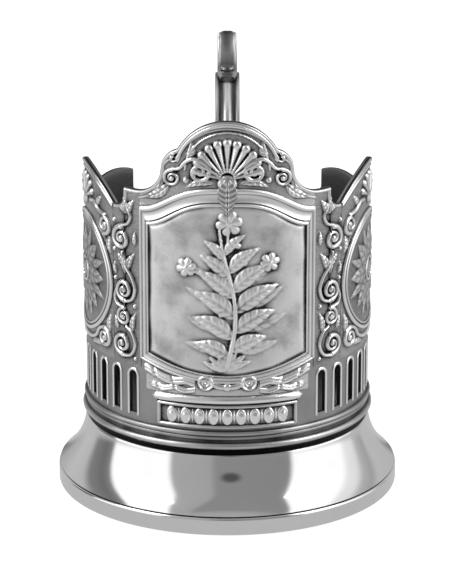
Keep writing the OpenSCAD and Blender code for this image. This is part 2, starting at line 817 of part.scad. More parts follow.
// The strip's centre line from the upper leg's end to the lower leg's end
arm_line = [for (a = [180 : -arc_angle : 90]) on_ellipse([arm_y, tab_z], arm_w, arm_h, a)];
back_line = [for (a = [90 - arc_angle : -arc_angle : 0]) on_ellipse([arm_y, back_z], back_w, back_h, a)];
bend_at = [leg_y + foot_bend_r, handle_low_z - foot_bend_r];
low_line = [for (a = [-arc_angle : -arc_angle : -90])
    on_ellipse([bend_at[0], back_z], handle_reach - foot_bend_r, back_z - handle_low_z, a)];
bend_line = [for (a = [90 + 2 * arc_angle : 2 * arc_angle : 180])
    [bend_at + foot_bend_r * [cos(a), sin(a)], -[cos(a), sin(a)]]];
upper_end = [[[leg_y, upper_leg_z], [-1, 0]]];
lower_end = [[[leg_y, lower_leg_z], [1, 0]]];
strip_line = concat(upper_end, arm_line, back_line, low_line, bend_line, lower_end);
arm_top = len(arm_line) - 1;
ridge_lines = [
    [for (q = arm_line) if (q[0][1] > tab_z + arm_h / 3 && q[0][0] < arm_line[arm_top - tab_steps][0][0]) q],
    concat([for (i = [tab_steps : len(back_line) - 1]) back_line[i]], low_line)];

module seam_strap() {
    color(patina) difference() {
        on_body(180, strap_t) translate([-strap_w / 2, base_z + collar_h + fit])
            square([strap_w, tab_z - base_z - collar_h - fit]);
        handle_rivet_holes();
    }
}

module handle_strip() {
    color(patina) difference() {
        union() {
            across(handle_w) polygon(strip_points(strip_line, -handle_t / 2, handle_t / 2));
            for (line = ridge_lines)
                across(ridge_w) polygon(strip_points(line, 0, handle_t / 2 + ridge_t));
        }
        translate([0, 0, base_z]) cylinder(r = strap_r, h = tab_z - base_z, $fn = round_fn);
        handle_rivet_holes();
        translate([0, arm_y, back_z]) {
            cylinder(r = handle_rivet_d / 2, h = reach, $fn = round_fn / 2);
            cylinder(r = handle_rivet_head_r + fit, h = back_h - handle_t / 2, $fn = round_fn / 2);
        }
    }
}

// A body rivet: a flat head inside the well and a round head on the leg
module leg_rivet(z) {
    intersection() {
        rear_pin(handle_rivet_head_r, z, 0, reach);
        tube(well_r - inner_head_t, well_r, base_z, top_z);
    }
    head_y = leg_y + handle_t / 2;
    rear_pin(handle_rivet_d / 2, z, well_r - inner_head_t / 2, head_y + handle_rivet_head_t);
    rear_pin(handle_rivet_head_r, z, head_y, head_y + handle_rivet_head_t);
}

module handle_upper_rivets() {
    color(polished) for (z = upper_rivet_heights()) leg_rivet(z);
}

module handle_lower_rivet() {
    color(polished) leg_rivet(lower_rivet_z());
}

// The thumb rest's centre line
thumb_root = back_line[0];
thumb_root_at = thumb_root[0] + thumb_root[1] * thumb_lay;
thumb_root_az = atan2(thumb_root[1][1], thumb_root[1][0]);
thumb_r = (handle_top_z + thumb_rise - thumb_root_at[1]) / (sin(thumb_root_az) - cos(thumb_tip_angle));
thumb_at = thumb_root_at + thumb_root[1] * thumb_r;
thumb_line = concat(
    [for (i = [arm_top - tab_steps : arm_top]) let (q = arm_line[i]) [q[0] + q[1] * thumb_lay, q[1]]],
    [for (p = arc_points(thumb_at, thumb_r, thumb_root_az + 180, thumb_tip_angle + 270, 2 * arc_steps))
        [p, (thumb_at - p) / thumb_r]]);

module thumb_rest() {
    color(patina) difference() {
        across(thumb_w) polygon(strip_points(thumb_line, -thumb_t / 2, thumb_t / 2));
        translate([0, arm_y, back_z]) cylinder(r = handle_rivet_d / 2, h = reach, $fn = round_fn / 2);
    }
}

module thumb_rest_rivet() {
    low_z = handle_top_z - handle_t / 2;
    high_z = handle_top_z + handle_t / 2 + thumb_t;
    grip = high_z - low_z;
    color(polished) translate([0, arm_y, low_z - handle_rivet_head_t]) {
        cylinder(r = handle_rivet_d / 2, h = grip + 2 * handle_rivet_head_t, $fn = round_fn / 2);
        for (z = [0, grip + handle_rivet_head_t]) translate([0, 0, z])
            cylinder(r = handle_rivet_head_r, h = handle_rivet_head_t, $fn = round_fn / 2);
    }
}

foot_rim_ring();
foot_bell();
glass_seat();
seat_rivets();
body_shell();
base_collar();
crest_rim_wire();
side_rim_wire_right();
side_rim_wire_left();
rear_rim_wire_right();
rear_rim_wire_left();
panel_frame();
panel_plate();
panel_spray();
name_plate();
name_plate_roll();
ribbon_bow();
ribbon_wing_right();
ribbon_wing_left();
crest_palmette();
crest_scroll_right();
crest_scroll_left();
scroll_column_right();
scroll_column_left();
medallion_frame_right();
medallion_frame_left();
medallion_plate_right();
medallion_plate_left();
seam_strap();
handle_strip();
thumb_rest();
handle_upper_rivets();
handle_lower_rivet();
thumb_rest_rivet();
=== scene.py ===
import math

import bpy
import numpy as np
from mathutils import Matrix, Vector


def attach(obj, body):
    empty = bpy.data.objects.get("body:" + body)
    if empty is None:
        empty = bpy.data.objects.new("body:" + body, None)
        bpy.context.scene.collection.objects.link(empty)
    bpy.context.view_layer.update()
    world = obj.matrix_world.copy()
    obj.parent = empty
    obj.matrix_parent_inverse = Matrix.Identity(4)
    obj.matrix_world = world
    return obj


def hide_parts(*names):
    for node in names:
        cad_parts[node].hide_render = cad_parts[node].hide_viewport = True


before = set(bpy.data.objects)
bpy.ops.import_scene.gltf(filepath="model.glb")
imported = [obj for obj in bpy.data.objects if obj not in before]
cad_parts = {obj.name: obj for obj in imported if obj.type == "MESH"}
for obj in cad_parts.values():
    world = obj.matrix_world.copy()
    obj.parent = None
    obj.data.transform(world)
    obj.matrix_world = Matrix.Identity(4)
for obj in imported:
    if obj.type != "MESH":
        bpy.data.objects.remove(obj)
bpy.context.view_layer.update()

MM = 0.001
rng = np.random.default_rng(7)

# Sizes of the holder

WELL_R, SHEET_T = 34.0, 0.9
BODY_R = WELL_R + SHEET_T
BASE_Z, BODY_H = 18.0, 59.6
VALLEY_Z = BASE_Z + BODY_H
SHOULDER_Z = VALLEY_Z + 4.7
CREST_RISE = 18.5
CREST_Z = SHOULDER_Z + CREST_RISE
SIDE_TOP_Z = VALLEY_Z + 6.8
REAR_Z = VALLEY_Z - 4.2
NOTCH_Z = REAR_Z - 7.1
TAB_HALF, TAB_RISE = 5.4, 3.4
TAB_Z = NOTCH_Z + TAB_RISE
CREST_AZ, SHOULDER_AZ, VALLEY_AZ, SIDE_AZ, NOTCH_AZ = 26.4, 44.4, 50.0, 77.0, 44.6
SLOT_W, SLOT_H, SLOT_LOW_Z, SLOT_AZ, SLOT_PITCH, SLOT_COUNT = 2.4, 10.8, 26.0, 40.6, 9.3, 13
SLOT_TOP_Z = SLOT_LOW_Z + SLOT_H - SLOT_W / 2
FOOT_R, FOOT_RIM_H, FOOT_RIM_T, FOOT_T = 42.5, 4.8, 2.3, 0.9
FLANGE_R, FLANGE_OUT_R = 29.0, 34.3
PANEL_AZ, PANEL_LOW_Z, PANEL_TOP_Z, PANEL_ARCH, PANEL_SAG = 36.0, 40.6, 78.7, 5.9, 4.3
FRAME_SIDE_W, FRAME_TOP_W, FRAME_LOW_W = 2.0, 4.5, 2.0
NAME_AZ, NAME_Z, NAME_H, ROLL_H = 28.6, 24.7, 6.1, 2.2
COLUMN_AZ, REAR_AZ = 44.5, 138.0
BAND_LOW_Z, REAR_BAND_TOP_Z, BOW_LOW_Z = 38.1, 63.0, 33.05
MEDALLION_Z = BASE_Z + BODY_H * 0.655
MEDALLION_R = BODY_R * math.sin(math.radians(25.6))
LEG_Y, HANDLE_T, HANDLE_W = 36.198, 1.8, 6.4
HANDLE_TOP_Z, HANDLE_LOW_Z, HANDLE_REACH, BEND_R = VALLEY_Z + 12, BASE_Z + 18.4, 38.0, 4.6
ARM_W, ARM_H = HANDLE_REACH * 0.52, HANDLE_TOP_Z - TAB_Z
BACK_W = HANDLE_REACH - ARM_W
BACK_Z = HANDLE_TOP_Z - BACK_W
ARM_Y = LEG_Y + ARM_W


def chord(az):
    return BODY_R * math.sin(math.radians(az))


PANEL_HALF, CREST_HALF = chord(PANEL_AZ), chord(CREST_AZ)
DOME_R, BALL_R, COVE_R = CREST_HALF * 0.85, CREST_HALF * 0.32, CREST_RISE * 0.35
DOME_Z = CREST_Z - DOME_R

# Meshes


def mesh_piece(name, points_mm, faces, wear=None, sharp=40):
    """A mesh object from points in millimetres, smooth except over sharp corners."""
    mesh = bpy.data.meshes.new(name)
    mesh.from_pydata((np.asarray(points_mm) * MM).tolist(), [], [list(map(int, f)) for f in faces])
    mesh.validate()
    # these values hold patina and wear, and painted shade where recesses and grooves are darkened as if
    # shaded
    if wear is not None:
        mesh.attributes.new("wear", "FLOAT", "POINT").data.foreach_set("value", np.asarray(wear, np.float32))
    mesh.polygons.foreach_set("use_smooth", np.ones(len(mesh.polygons), bool))
    mesh.set_sharp_from_angle(angle=math.radians(sharp))
    piece = bpy.data.objects.new(name, mesh)
    bpy.context.scene.collection.objects.link(piece)
    return piece


def places(piece):
    """The places of a mesh's points, in millimetres."""
    co = np.empty(len(piece.data.vertices) * 3)
    piece.data.vertices.foreach_get("co", co)
    return co.reshape(-1, 3) / MM


def wear_and_shade_of(piece):
    """The wear and painted shade at each point, or None on a piece without them."""
    mesh = piece.data
    if "wear" not in mesh.attributes:
        return None
    wear = np.empty(len(mesh.vertices))
    mesh.attributes["wear"].data.foreach_get("value", wear)
    return wear


def grid_faces(rows, columns, keep=None, wrap=False):
    """Quads of a grid of points, row after row, that face away from the axis."""
    return [(i * columns + j, i * columns + (j + 1) % columns,
             (i + 1) * columns + (j + 1) % columns, (i + 1) * columns + j)
            for i in range(rows - 1) for j in range(columns if wrap else columns - 1)
            if keep is None or keep(i, j)]


def tube_faces(rows, columns, closed=False):
    """Quads round a row of rings that meets itself, or that has a cap at each end."""
    faces = grid_faces(rows, columns, wrap=True)
    last = (rows - 1) * columns
    if closed:
        return faces + [(last + j, last + (j + 1) % columns, (j + 1) % columns, j) for j in range(columns)]
    return faces + [tuple(range(columns))[::-1], tuple(range(last, last + columns))]


def walled(front, back, faces):
    """A closed wall: the front grid, the back grid turned round, and quads along every open edge."""
    quads = np.array(faces)
    pairs = np.concatenate([quads[:, [a, (a + 1) % 4]] for a in range(4)])
    count = len(front)
    forward = pairs[:, 0] * count + pairs[:, 1]
    reverse = pairs[:, 1] * count + pairs[:, 0]
    open_edges = pairs[~np.isin(forward, reverse)]
    a, b = open_edges.T
    walls = np.column_stack([b, a, a + count, b + count])
    points = np.concatenate([front, back])
    all_faces = np.concatenate([quads, quads[:, ::-1] + count, walls])
    used = np.unique(all_faces)
    place = np.full(len(points), -1)
    place[used] = np.arange(len(used))
    return points[used], place[all_faces], used


def facing_out(piece):
    """Turns a closed mesh's faces outwards where its volume comes out negative."""
    mesh = piece.data
    mesh.calc_loop_triangles()
    index = np.empty(len(mesh.loop_triangles) * 3, int)
    mesh.loop_triangles.foreach_get("vertices", index)
    a, b, c = places(piece)[index.reshape(-1, 3)].transpose(1, 0, 2)
    if np.einsum("ij,ij->i", a, np.cross(b, c)).sum() < 0:
        mesh.flip_normals()
    return piece


def joined(first, *others):
    """Several meshes as one."""
    meshes = [first, *others]
    points, faces, wears_and_shades, start = [], [], [], 0
    for piece in meshes:
        points.append(places(piece))
        wear = wear_and_shade_of(piece)
        wears_and_shades.append(np.full(len(points[-1]), 0.5) if wear is None else wear)
        faces += [[v + start for v in p.vertices] for p in piece.data.polygons]
        start += len(points[-1])
    name = first.name
    for piece in meshes:
        old = piece.data
        bpy.data.objects.remove(piece)
        bpy.data.meshes.remove(old)
    return mesh_piece(name, np.concatenate(points), faces, np.concatenate(wears_and_shades))


def mirrored(piece):
    """The left twin of a right piece."""
    faces = [list(p.vertices)[::-1] for p in piece.data.polygons]
    name = piece.name.replace("right", "left")
    return mesh_piece(name, places(piece) * [-1, 1, 1], faces, wear_and_shade_of(piece))


def on_body(across, out, up, az=0):
    """Places at a distance across, out of and up the body's wall, round azimuth az."""
    angle = math.radians(az) + np.arcsin(np.clip(across / BODY_R, -1, 1))
    radius = BODY_R + out
    return np.stack([radius * np.sin(angle), -radius * np.cos(angle), up], axis=-1)


def wrapped(piece):
    """Lays a flat piece, made across X, out of -Y and up Z, on the front of the body."""
    co = places(piece)
    co = on_body(co[:, 0], -co[:, 1], co[:, 2]) * MM
    piece.data.vertices.foreach_set("co", co.ravel())
    piece.data.update()
    return piece


def turned(name, profile, wear=None, steps=288, sharp=30):
    """A closed profile of radius and height, turned round the Z axis."""
    profile = np.asarray(profile, float)
    angle = np.linspace(0, 2 * math.pi, steps, endpoint=False)
    points = np.stack([
        profile[:, None, 0] * np.sin(angle), -profile[:, None, 0] * np.cos(angle),
        np.repeat(profile[:, 1:2], steps, 1)], axis=-1).reshape(-1, 3)
    wears_and_shades = None if wear is None else np.repeat(np.asarray(wear, float), steps)
    return facing_out(mesh_piece(name, points, tube_faces(len(profile), steps, True), wears_and_shades, sharp))


def ringed(name, rings, wears_and_shades, closed, sharp=60):
    """A mesh from rings of places, each ring with its own wear and shade."""
    columns = len(rings[0])
    faces = tube_faces(len(rings), columns, closed)
    return facing_out(mesh_piece(name, np.concatenate(rings), faces, np.repeat(wears_and_shades, columns), sharp))


def swept(name, path, side, out, section, wear, sharp=40):
    """A section carried along a path, with its own two directions at every place."""
    section = np.asarray(section, float)
    across, away = section[..., :1], section[..., 1:2]
    rings = path[:, None, :] + across * side[:, None, :] + away * out[:, None, :]
    count, size = rings.shape[:2]
    faces = tube_faces(count, size)
    return facing_out(mesh_piece(name, rings.reshape(-1, 3), faces, np.tile(wear, count), sharp))


def round_places(count, start=0.0):
    """Angles round a circle, without the last that meets the first."""
    return np.radians(np.linspace(0, 360, count + 1)[:-1] + start)


def both_sides(right, crown=()):
    """A section of across, out and wear from its right half, the lowest place first."""
    left = [(-x, out, wear) for x, out, wear in right[::-1]]
    table = np.roll(np.array([*right, *crown, *left]), 2, axis=0)
    return table[:, :2], table[:, 2]


# Relief, as heights over places across x and up z


def softened(field, times):
    for _ in range(times):
        padded = np.pad(field, 1, mode="edge")
        beside = padded[:-2, 1:-1] + padded[2:, 1:-1] + padded[1:-1, :-2] + padded[1:-1, 2:]
        field = (beside + 4 * field) / 8
    return field


def patina_wear_and_shade(h, gain, level=0.5):
    """How dark with patina and painted shade, and how polished by wear, a relief is: 0 in its recesses, 1 on
    its edges.
    """
    near = softened(h, 8)
    # painted shade: the broad term darkens the ground round the raised parts
    broad_shade = 0.6 * gain * (near - softened(near, 50))
    return np.clip(level + gain * (h - near) + broad_shade + 0.15 * (h - np.mean(h)), 0, 1)


def plate(name, x, z, h, wear, az=0, back=-0.08, back_wear=0.3, faces=None):
    """A closed plate of relief on the body's wall."""
    front = on_body(x, h, z, az).reshape(-1, 3)
    behind = on_body(x, np.full_like(h, back), z, az).reshape(-1, 3)
    points, faces, used = walled(front, behind, grid_faces(*h.shape) if faces is None else faces)
    wears_and_shades = np.concatenate([wear.ravel(), np.full(wear.size, back_wear)])[used]
    return facing_out(mesh_piece(name, points, faces, wears_and_shades))


def relief_piece(name, az, across, low, high, rows, height, wear_and_shade_gain, level=0.5):
    """A plate whose outline runs between two edges, its height given by a function."""
    share = np.linspace(0, 1, rows)[:, None]
    x = np.repeat(across[None, :], rows, 0)
    z = low(across)[None, :] * (1 - share) + high(across)[None, :] * share
    h = softened(height(x, z), 1)
    return plate(name, x, z, h, patina_wear_and_shade(h, wear_and_shade_gain, level), az)


def level_edge(z):
    """An edge of a plate at one height."""
    return lambda x: np.full_like(x, z)


def near_line(x, z, line):
    """Distance to a line of places, and how far along it the nearest place is."""
    line = np.asarray(line, float)
    lengths = np.hypot(*(line[1:] - line[:-1]).T)
    total, done = lengths.sum(), 0.0
    best, along = np.full(x.shape, 1e9), np.zeros(x.shape)
    for a, b, length in zip(line[:-1], line[1:], lengths):
        if length < 1e-9:
            continue
        step = b - a
        t = np.clip(((x - a[0]) * step[0] + (z - a[1]) * step[1]) / length ** 2, 0, 1)
        d = np.hypot(x - a[0] - t * step[0], z - a[1] - t * step[1])
        closer = d < best
        best = np.where(closer, d, best)
        along = np.where(closer, (done + t * length) / total, along)
        done += length
    return best, along


def window(x, z, low, high, margin):
    return (x > low[0] - margin) & (x < high[0] + margin) & (z > low[1] - margin) & (z < high[1] + margin)


def raise_to(h, where, value):
    h[where] = np.maximum(h[where], value)


def ridge(h, x, z, line, w0, w1, top, base, flat=0.5):
    """A rounded ridge along a line, from half width w0 to half width w1."""
    line = np.asarray(line, float)
    where = window(x, z, line.min(0), line.max(0), max(w0, w1))
    d, t = near_line(x[where], z[where], line)
    q = 1 - (d / (w0 + (w1 - w0) * t)) ** 2
    raise_to(h, where, np.where(q > 0, base + top * np.clip(q, 0, 1) ** flat, 0))


def boss(h, x, z, at, r, top, base):
    where = window(x, z, at, at, r)
    q = 1 - ((x[where] - at[0]) ** 2 + (z[where] - at[1]) ** 2) / r ** 2
    raise_to(h, where, np.where(q > 0, base + top * np.sqrt(np.clip(q, 0, 1)), 0))


def curve(through, steps=8):
    """A smooth line through a few places."""
    through = np.asarray(through, float)
    padded = np.concatenate([[2 * through[0] - through[1]], through, [2 * through[-1] - through[-2]]])
    line = []
    for a, b, c, d in zip(padded, padded[1:], padded[2:], padded[3:]):
        for t in np.linspace(0, 1, steps, endpoint=False):
            line.append(0.5 * (2 * b + (c - a) * t + (2 * a - 5 * b + 4 * c - d) * t ** 2
                               + (3 * b - a - 3 * c + d) * t ** 3))
    return np.array(line + [through[-1]])


def arc(c, r, a0, a1, n):
    a = np.radians(np.linspace(a0, a1, n))
    return np.column_stack([c[0] + r * np.cos(a), c[1] + r * np.sin(a)])


def heading(degrees):
    """A direction on a relief, counted from straight up."""
    a = math.radians(degrees)
    return np.array([math.sin(a), math.cos(a)])


def scroll_line(at, r, turns, hand, start, eye=0.16, count=70):
    """A spiral from its outer end to its eye."""
    t = np.linspace(0, 1, count)
    angle = np.radians(start) + hand * 2 * math.pi * turns * t
    radius = r * (eye + (1 - eye) * (1 - t) ** 0.85)
    return np.column_stack([at[0] + radius * np.cos(angle), at[1] + radius * np.sin(angle)])


def volute(h, x, z, at, r, hand, start, w=0.25, top=0.75, turns=1.6, base=0.1):
    line = scroll_line(at, r * (1 - w / 2), turns, hand, start)
    ridge(h, x, z, line, r * w, r * w * 0.55, top, base)
    boss(h, x, z, at, r * 0.27, top * 1.05, base)


def leaf(h, x, z, root, tip, width, top, base=0.12, bend=0.0, veins=5):
    """A pointed leaf with a sunk midrib and side veins."""
    root, tip = np.asarray(root, float), np.asarray(tip, float)
    step = tip - root
    length = math.hypot(*step)
    e = step / length
    where = window(x, z, np.minimum(root, tip), np.maximum(root, tip), width + abs(bend) * length)
    u, v = x[where] - root[0], z[where] - root[1]
    t = (u * e[0] + v * e[1]) / length
    tc = np.clip(t, 0, 1)
    s = -u * e[1] + v * e[0] - bend * length * np.sin(math.pi * tc)
    half = width / 2 * np.sin(math.pi * tc ** 0.75) + 1e-6
    q = np.abs(s) / half
    body = np.clip(1 - q ** 2, 0, 1) ** 0.45 * (0.6 + 0.4 * np.sin(math.pi * tc))
    body -= 0.34 * np.exp(-(s / (0.085 * width)) ** 2)
    vein = (tc * veins - 0.7 * q) % 1 - 0.5
    body -= 0.3 * np.exp(-(vein / 0.2) ** 2) * 4 * np.clip(q * (1 - q), 0, 1)
    raise_to(h, where, np.where((t > 0) & (t < 1) & (q < 1), base + top * np.clip(body, 0, 2), 0))


def blossom(h, x, z, at, r, petals, top, base, turn):
    """An open flower: rounded petals round a domed eye."""
    where = window(x, z, at, at, r)
    u, v = x[where] - at[0], z[where] - at[1]
    petal = np.abs(np.cos(petals / 2 * (np.arctan2(v, u) - math.radians(turn))))
    q = np.hypot(u, v) / (r * (0.68 + 0.32 * petal ** 0.6))
    body = np.clip(1 - q ** 2, 0, 1) ** 0.4 * (0.45 + 0.55 * petal ** 0.7)
    raise_to(h, where, np.where(q < 1, base + top * body, 0))
    boss(h, x, z, at, 0.3 * r, top * 1.15, base)


def stipple(h, amount):
    """The punched ground between the ornaments."""
    return h + amount * softened(rng.random(h.shape) - 0.5, 1)


def ground(x, level=0.14, amount=0.1):
    return stipple(np.full(x.shape, level), amount)


# The rim


def half_rim():
    """Azimuth and height of the rim from the front to the handle."""
    shoulder_half, valley_half = chord(SHOULDER_AZ), chord(VALLEY_AZ)
    dome, ball = np.array([0, DOME_Z]), np.array([CREST_HALF - BALL_R, SHOULDER_Z + COVE_R])
    valley_r = (valley_half - shoulder_half) * 0.9
    d = np.hypot(*(ball - dome))
    near = (DOME_R ** 2 - BALL_R ** 2 + d ** 2) / (2 * d)
    join = math.degrees(math.atan2(ball[1] - dome[1], ball[0] - dome[0]) + math.acos(near / DOME_R))
    place = dome + DOME_R * np.array([math.cos(math.radians(join)), math.sin(math.radians(join))])
    start = math.degrees(math.atan2(*(place - ball)[::-1]))
    front = np.concatenate([
        arc(dome, DOME_R, 90, join, 24), arc(ball, BALL_R, start, 0, 12),
        arc((CREST_HALF + COVE_R, SHOULDER_Z + COVE_R), COVE_R, 180, 270, 16),
        [[shoulder_half, SHOULDER_Z]],
        arc((shoulder_half + valley_r, VALLEY_Z + valley_r), valley_r, 180, 270, 8)])
    front_az = np.degrees(np.arcsin(front[:, 0] / BODY_R))

    half, rise = chord(SIDE_AZ - VALLEY_AZ), SIDE_TOP_Z - VALLEY_Z
    arch_r = (half ** 2 + rise ** 2) / (2 * rise)
    arch_z = SIDE_TOP_Z - arch_r
    side = arc((0, arch_z), arch_r, 180 - math.degrees(math.asin((VALLEY_Z - arch_z) / arch_r)),
               math.degrees(math.asin((REAR_Z - arch_z) / arch_r)), 40)
    side_az = SIDE_AZ + np.degrees(np.arcsin(side[:, 0] / BODY_R))

    rear_half, notch_half = chord(180 - side_az[-1]), chord(NOTCH_AZ)
    bump, tab_r = (rear_half - notch_half) / 2, TAB_RISE * 0.8
    s = np.linspace(1, -1, 13)
    rear = np.concatenate([
        np.column_stack([notch_half + bump * (1 + s), REAR_Z + 1.05 * (1 - s ** 2)]),
        [[notch_half, (REAR_Z + 2 * NOTCH_Z) / 3], [notch_half * 0.91, NOTCH_Z]],
        arc((TAB_HALF + tab_r, NOTCH_Z + tab_r), tab_r, 270, 180, 7),
        [[TAB_HALF, TAB_Z], [0, TAB_Z]]])
    rear_az = 180 - np.degrees(np.arcsin(rear[:, 0] / BODY_R))

    az = np.concatenate([front_az, side_az, rear_az])
    z = np.concatenate([front[:, 1], side[:, 1], rear[:, 1]])
    for i in range(1, len(az)):
        az[i] = max(az[i], az[i - 1] + 0.03)
    return az * 180 / az[-1], z


RIM_AZ, RIM_Z = half_rim()


def rim_z(az):
    return np.interp(np.abs((np.asarray(az) + 180) % 360 - 180), RIM_AZ, RIM_Z)


def under_rim(az, gap=0.5):
    """The edge of a plate that follows the rim round azimuth az, a little below it."""
    return lambda x: rim_z(az + np.degrees(np.arcsin(x / BODY_R))) - gap


# Node trees


def builder(tree):
    """Two ways to add a node: any kind with its settings and inputs, or one step of maths."""
    def add(kind, inputs=None, **settings):
        made = tree.nodes.new(kind)
        for name, value in settings.items():
            setattr(made, name, value)
        for key, value in (inputs or {}).items():
            if isinstance(value, bpy.types.NodeSocket):
                tree.links.new(value, made.inputs[key])
            else:
                made.inputs[key].default_value = value
        return made

    def maths(operation, a, b=0.0):
        return add("ShaderNodeMath", {0: a, 1: b}, operation=operation).outputs[0]

    return add, maths


def repeat_tree():
    """Copies of one shape, each moved and turned a step further than the last."""
    tree = bpy.data.node_groups.new("repeat_in_steps", "GeometryNodeTree")
    for name, kind in (("Shape", "Geometry"), ("Count", "Int"),
                       ("First Place", "Vector"), ("Place Step", "Vector"),
                       ("First Turn", "Vector"), ("Turn Step", "Vector"), ("Finish", "Material")):
        tree.interface.new_socket(name, in_out="INPUT", socket_type="NodeSocket" + kind)
    tree.interface.new_socket("Shape", in_out="OUTPUT", socket_type="NodeSocketGeometry")
    add, _ = builder(tree)
    given, number = add("NodeGroupInput").outputs, add("GeometryNodeInputIndex").outputs[0]

    def along(first, step):
        scaled = add("ShaderNodeVectorMath", {0: given[step], "Scale": number}, operation="SCALE")
        moved = add("ShaderNodeVectorMath", {0: scaled.outputs[0], 1: given[first]}, operation="ADD")
        return moved.outputs[0]

    place = along("First Place", "Place Step")
    points = add("GeometryNodePoints", {"Count": given["Count"], "Position": place})
    turn = along("First Turn", "Turn Step")
    copies = add("GeometryNodeInstanceOnPoints", {
        "Points": points.outputs[0], "Instance": given["Shape"], "Rotation": turn})
    real = add("GeometryNodeRealizeInstances", {0: copies.outputs[0]})
    finish = add("GeometryNodeSetMaterial", {"Geometry": real.outputs[0], "Material": given["Finish"]})
    add("NodeGroupOutput", {0: finish.outputs[0]})
    return tree


REPEAT = repeat_tree()
STILL = (0, 0, 0)


def repeated(shape, material, count, place=STILL, place_step=STILL, turn=STILL, turn_step=STILL):
    """The shape copied in steps and baked to one mesh; places in millimetres, turns in degrees."""
    modifier = shape.modifiers.new("steps", "NODES")
    modifier.node_group = REPEAT
    values = {"Count": count, "Finish": material}
    for key, value in (("First Place", place), ("Place Step", place_step)):
        values[key] = [v * MM for v in value]
    for key, value in (("First Turn", turn), ("Turn Step", turn_step)):
        values[key] = [math.radians(v) for v in value]
    for item in REPEAT.interface.items_tree:
        if item.item_type == "SOCKET" and item.in_out == "INPUT" and item.name in values:
            modifier[item.identifier] = values[item.name]
    bpy.context.view_layer.update()
    evaluated = shape.evaluated_get(bpy.context.evaluated_depsgraph_get())
    mesh = bpy.data.meshes.new_from_object(evaluated)
    old = shape.data
    shape.modifiers.remove(modifier)
    shape.data = mesh
    bpy.data.meshes.remove(old)
    mesh.name = shape.name
    return shape


# Finishes


def grey(value):
    return (value, value, value * 1.01)


def plated(name, tones, rough, grain, bump, cloudy=0.3, from_wear_and_shade=True, painted_shade_inside=None):
    """Plated metal whose recesses are dark with patina and painted shade and whose raised edges are polished
    by wear; inside a given radius it paints shade on the sheet.
    """
    material = bpy.data.materials.new(name)
    material.use_nodes = True
    shader = material.node_tree.nodes["Principled BSDF"]
    shader.inputs["Metallic"].default_value = 1.0
    add, maths = builder(material.node_tree)
    link = material.node_tree.links.new
    place = add("ShaderNodeTexCoord").outputs["Object"]
    cloud = add("ShaderNodeTexNoise", {"Vector": place, "Scale": 140.0, "Detail": 4.0}).outputs["Fac"]
    speck = add("ShaderNodeTexNoise", {"Vector": place, "Scale": grain, "Detail": 3.0}).outputs["Fac"]
    start = add("ShaderNodeAttribute", attribute_name="wear").outputs["Fac"] if from_wear_and_shade else 0.5
    level = maths("ADD", start, maths("MULTIPLY", maths("SUBTRACT", cloud, 0.5), cloudy))
    # painted shade: inside the radius, the sheet's inner face and its eased top edge are darker
    if painted_shade_inside:
        axes = add("ShaderNodeSeparateXYZ", {0: place}).outputs
        squares = maths("ADD", maths("MULTIPLY", axes[0], axes[0]), maths("MULTIPLY", axes[1], axes[1]))
        outside = maths("GREATER_THAN", squares, (painted_shade_inside * MM) ** 2)
        level = maths("MULTIPLY", level, maths("ADD", maths("MULTIPLY", outside, 0.62), 0.38))
    ramp = add("ShaderNodeValToRGB", {0: level})
    steps = ramp.color_ramp.elements
    steps.new(0.5)
    for step, at, tone in zip(steps, (0.12, 0.5, 0.92), tones):
        step.position, step.color = at, (*grey(tone), 1.0)
    colour = ramp.outputs[0]
    if painted_shade_inside:
        # painted shade: the well gets darker towards its bottom
        deep = maths("MINIMUM", maths("MAXIMUM", maths("MULTIPLY", axes[2], 12.0), 0.2), 0.8)
        shade = maths("MAXIMUM", outside, deep)
        colour = add("ShaderNodeVectorMath", {0: colour, "Scale": shade}, operation="SCALE").outputs[0]
    link(colour, shader.inputs["Base Color"])
    dull, bright = rough
    roughness = add("ShaderNodeMapRange", {"Value": level, "To Min": dull, "To Max": bright})
    link(roughness.outputs[0], shader.inputs["Roughness"])
    dent = add("ShaderNodeBump", {"Strength": bump, "Distance": 0.0002, "Height": speck})
    link(dent.outputs[0], shader.inputs["Normal"])
    return material


# tones in the recesses, between and on the edges; roughness in the recesses and on the edges
POLISHED = plated("polished_plate", (0.02, 0.75, 0.84), (0.12, 0.07), 500.0, 0.01)
RELIEF = plated("worn_and_shaded_relief", (0.006, 0.38, 0.94), (0.5, 0.2), 900.0, 0.15)
FIELD = plated("panel_field_plate", (0.03, 0.79, 0.98), (0.52, 0.36), 900.0, 0.1, cloudy=0.7)
FRAME = plated("frame_plate", (0.02, 0.8, 0.97), (0.52, 0.3), 900.0, 0.08)
TRIM = plated("bright_trim", (0.02, 0.62, 0.94), (0.4, 0.18), 900.0, 0.08)
HANDLE = plated("handle_plate", (0.05, 0.25, 0.6), (0.46, 0.34), 900.0, 0.12)
# the patinated sheet gets painted shade on its inner face
PATINA_SHADED_INSIDE = plated("patinated_sheet_shaded_inside", (0.24, 0.33, 0.42), (0.46, 0.36), 1400.0, 0.25, cloudy=0.9,
                from_wear_and_shade=False, painted_shade_inside=BODY_R - 0.07)
SEAT = plated("seat_disc_plate", (0.25, 0.38, 0.5), (0.4, 0.3), 500.0, 0.1, cloudy=0.9, from_wear_and_shade=False)
RIVET = plated("rivet_plate", (0.3, 0.5, 0.68), (0.34, 0.2), 500.0, 0.05, cloudy=0.9, from_wear_and_shade=False)


def dressed(piece, material, slot, *nodes):
    piece.data.materials.clear()
    piece.data.materials.append(material)
    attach(piece, "root")
    if nodes:
        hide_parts(*nodes)
    return piece


def dressed_pair(piece, material, slot, *nodes):
    """Dresses a right piece and its left twin."""
    left = mirrored(piece)
    dressed(piece, material, slot, *nodes)
    dressed(left, material, slot, *[node.replace("right", "left") for node in nodes])


# Foot


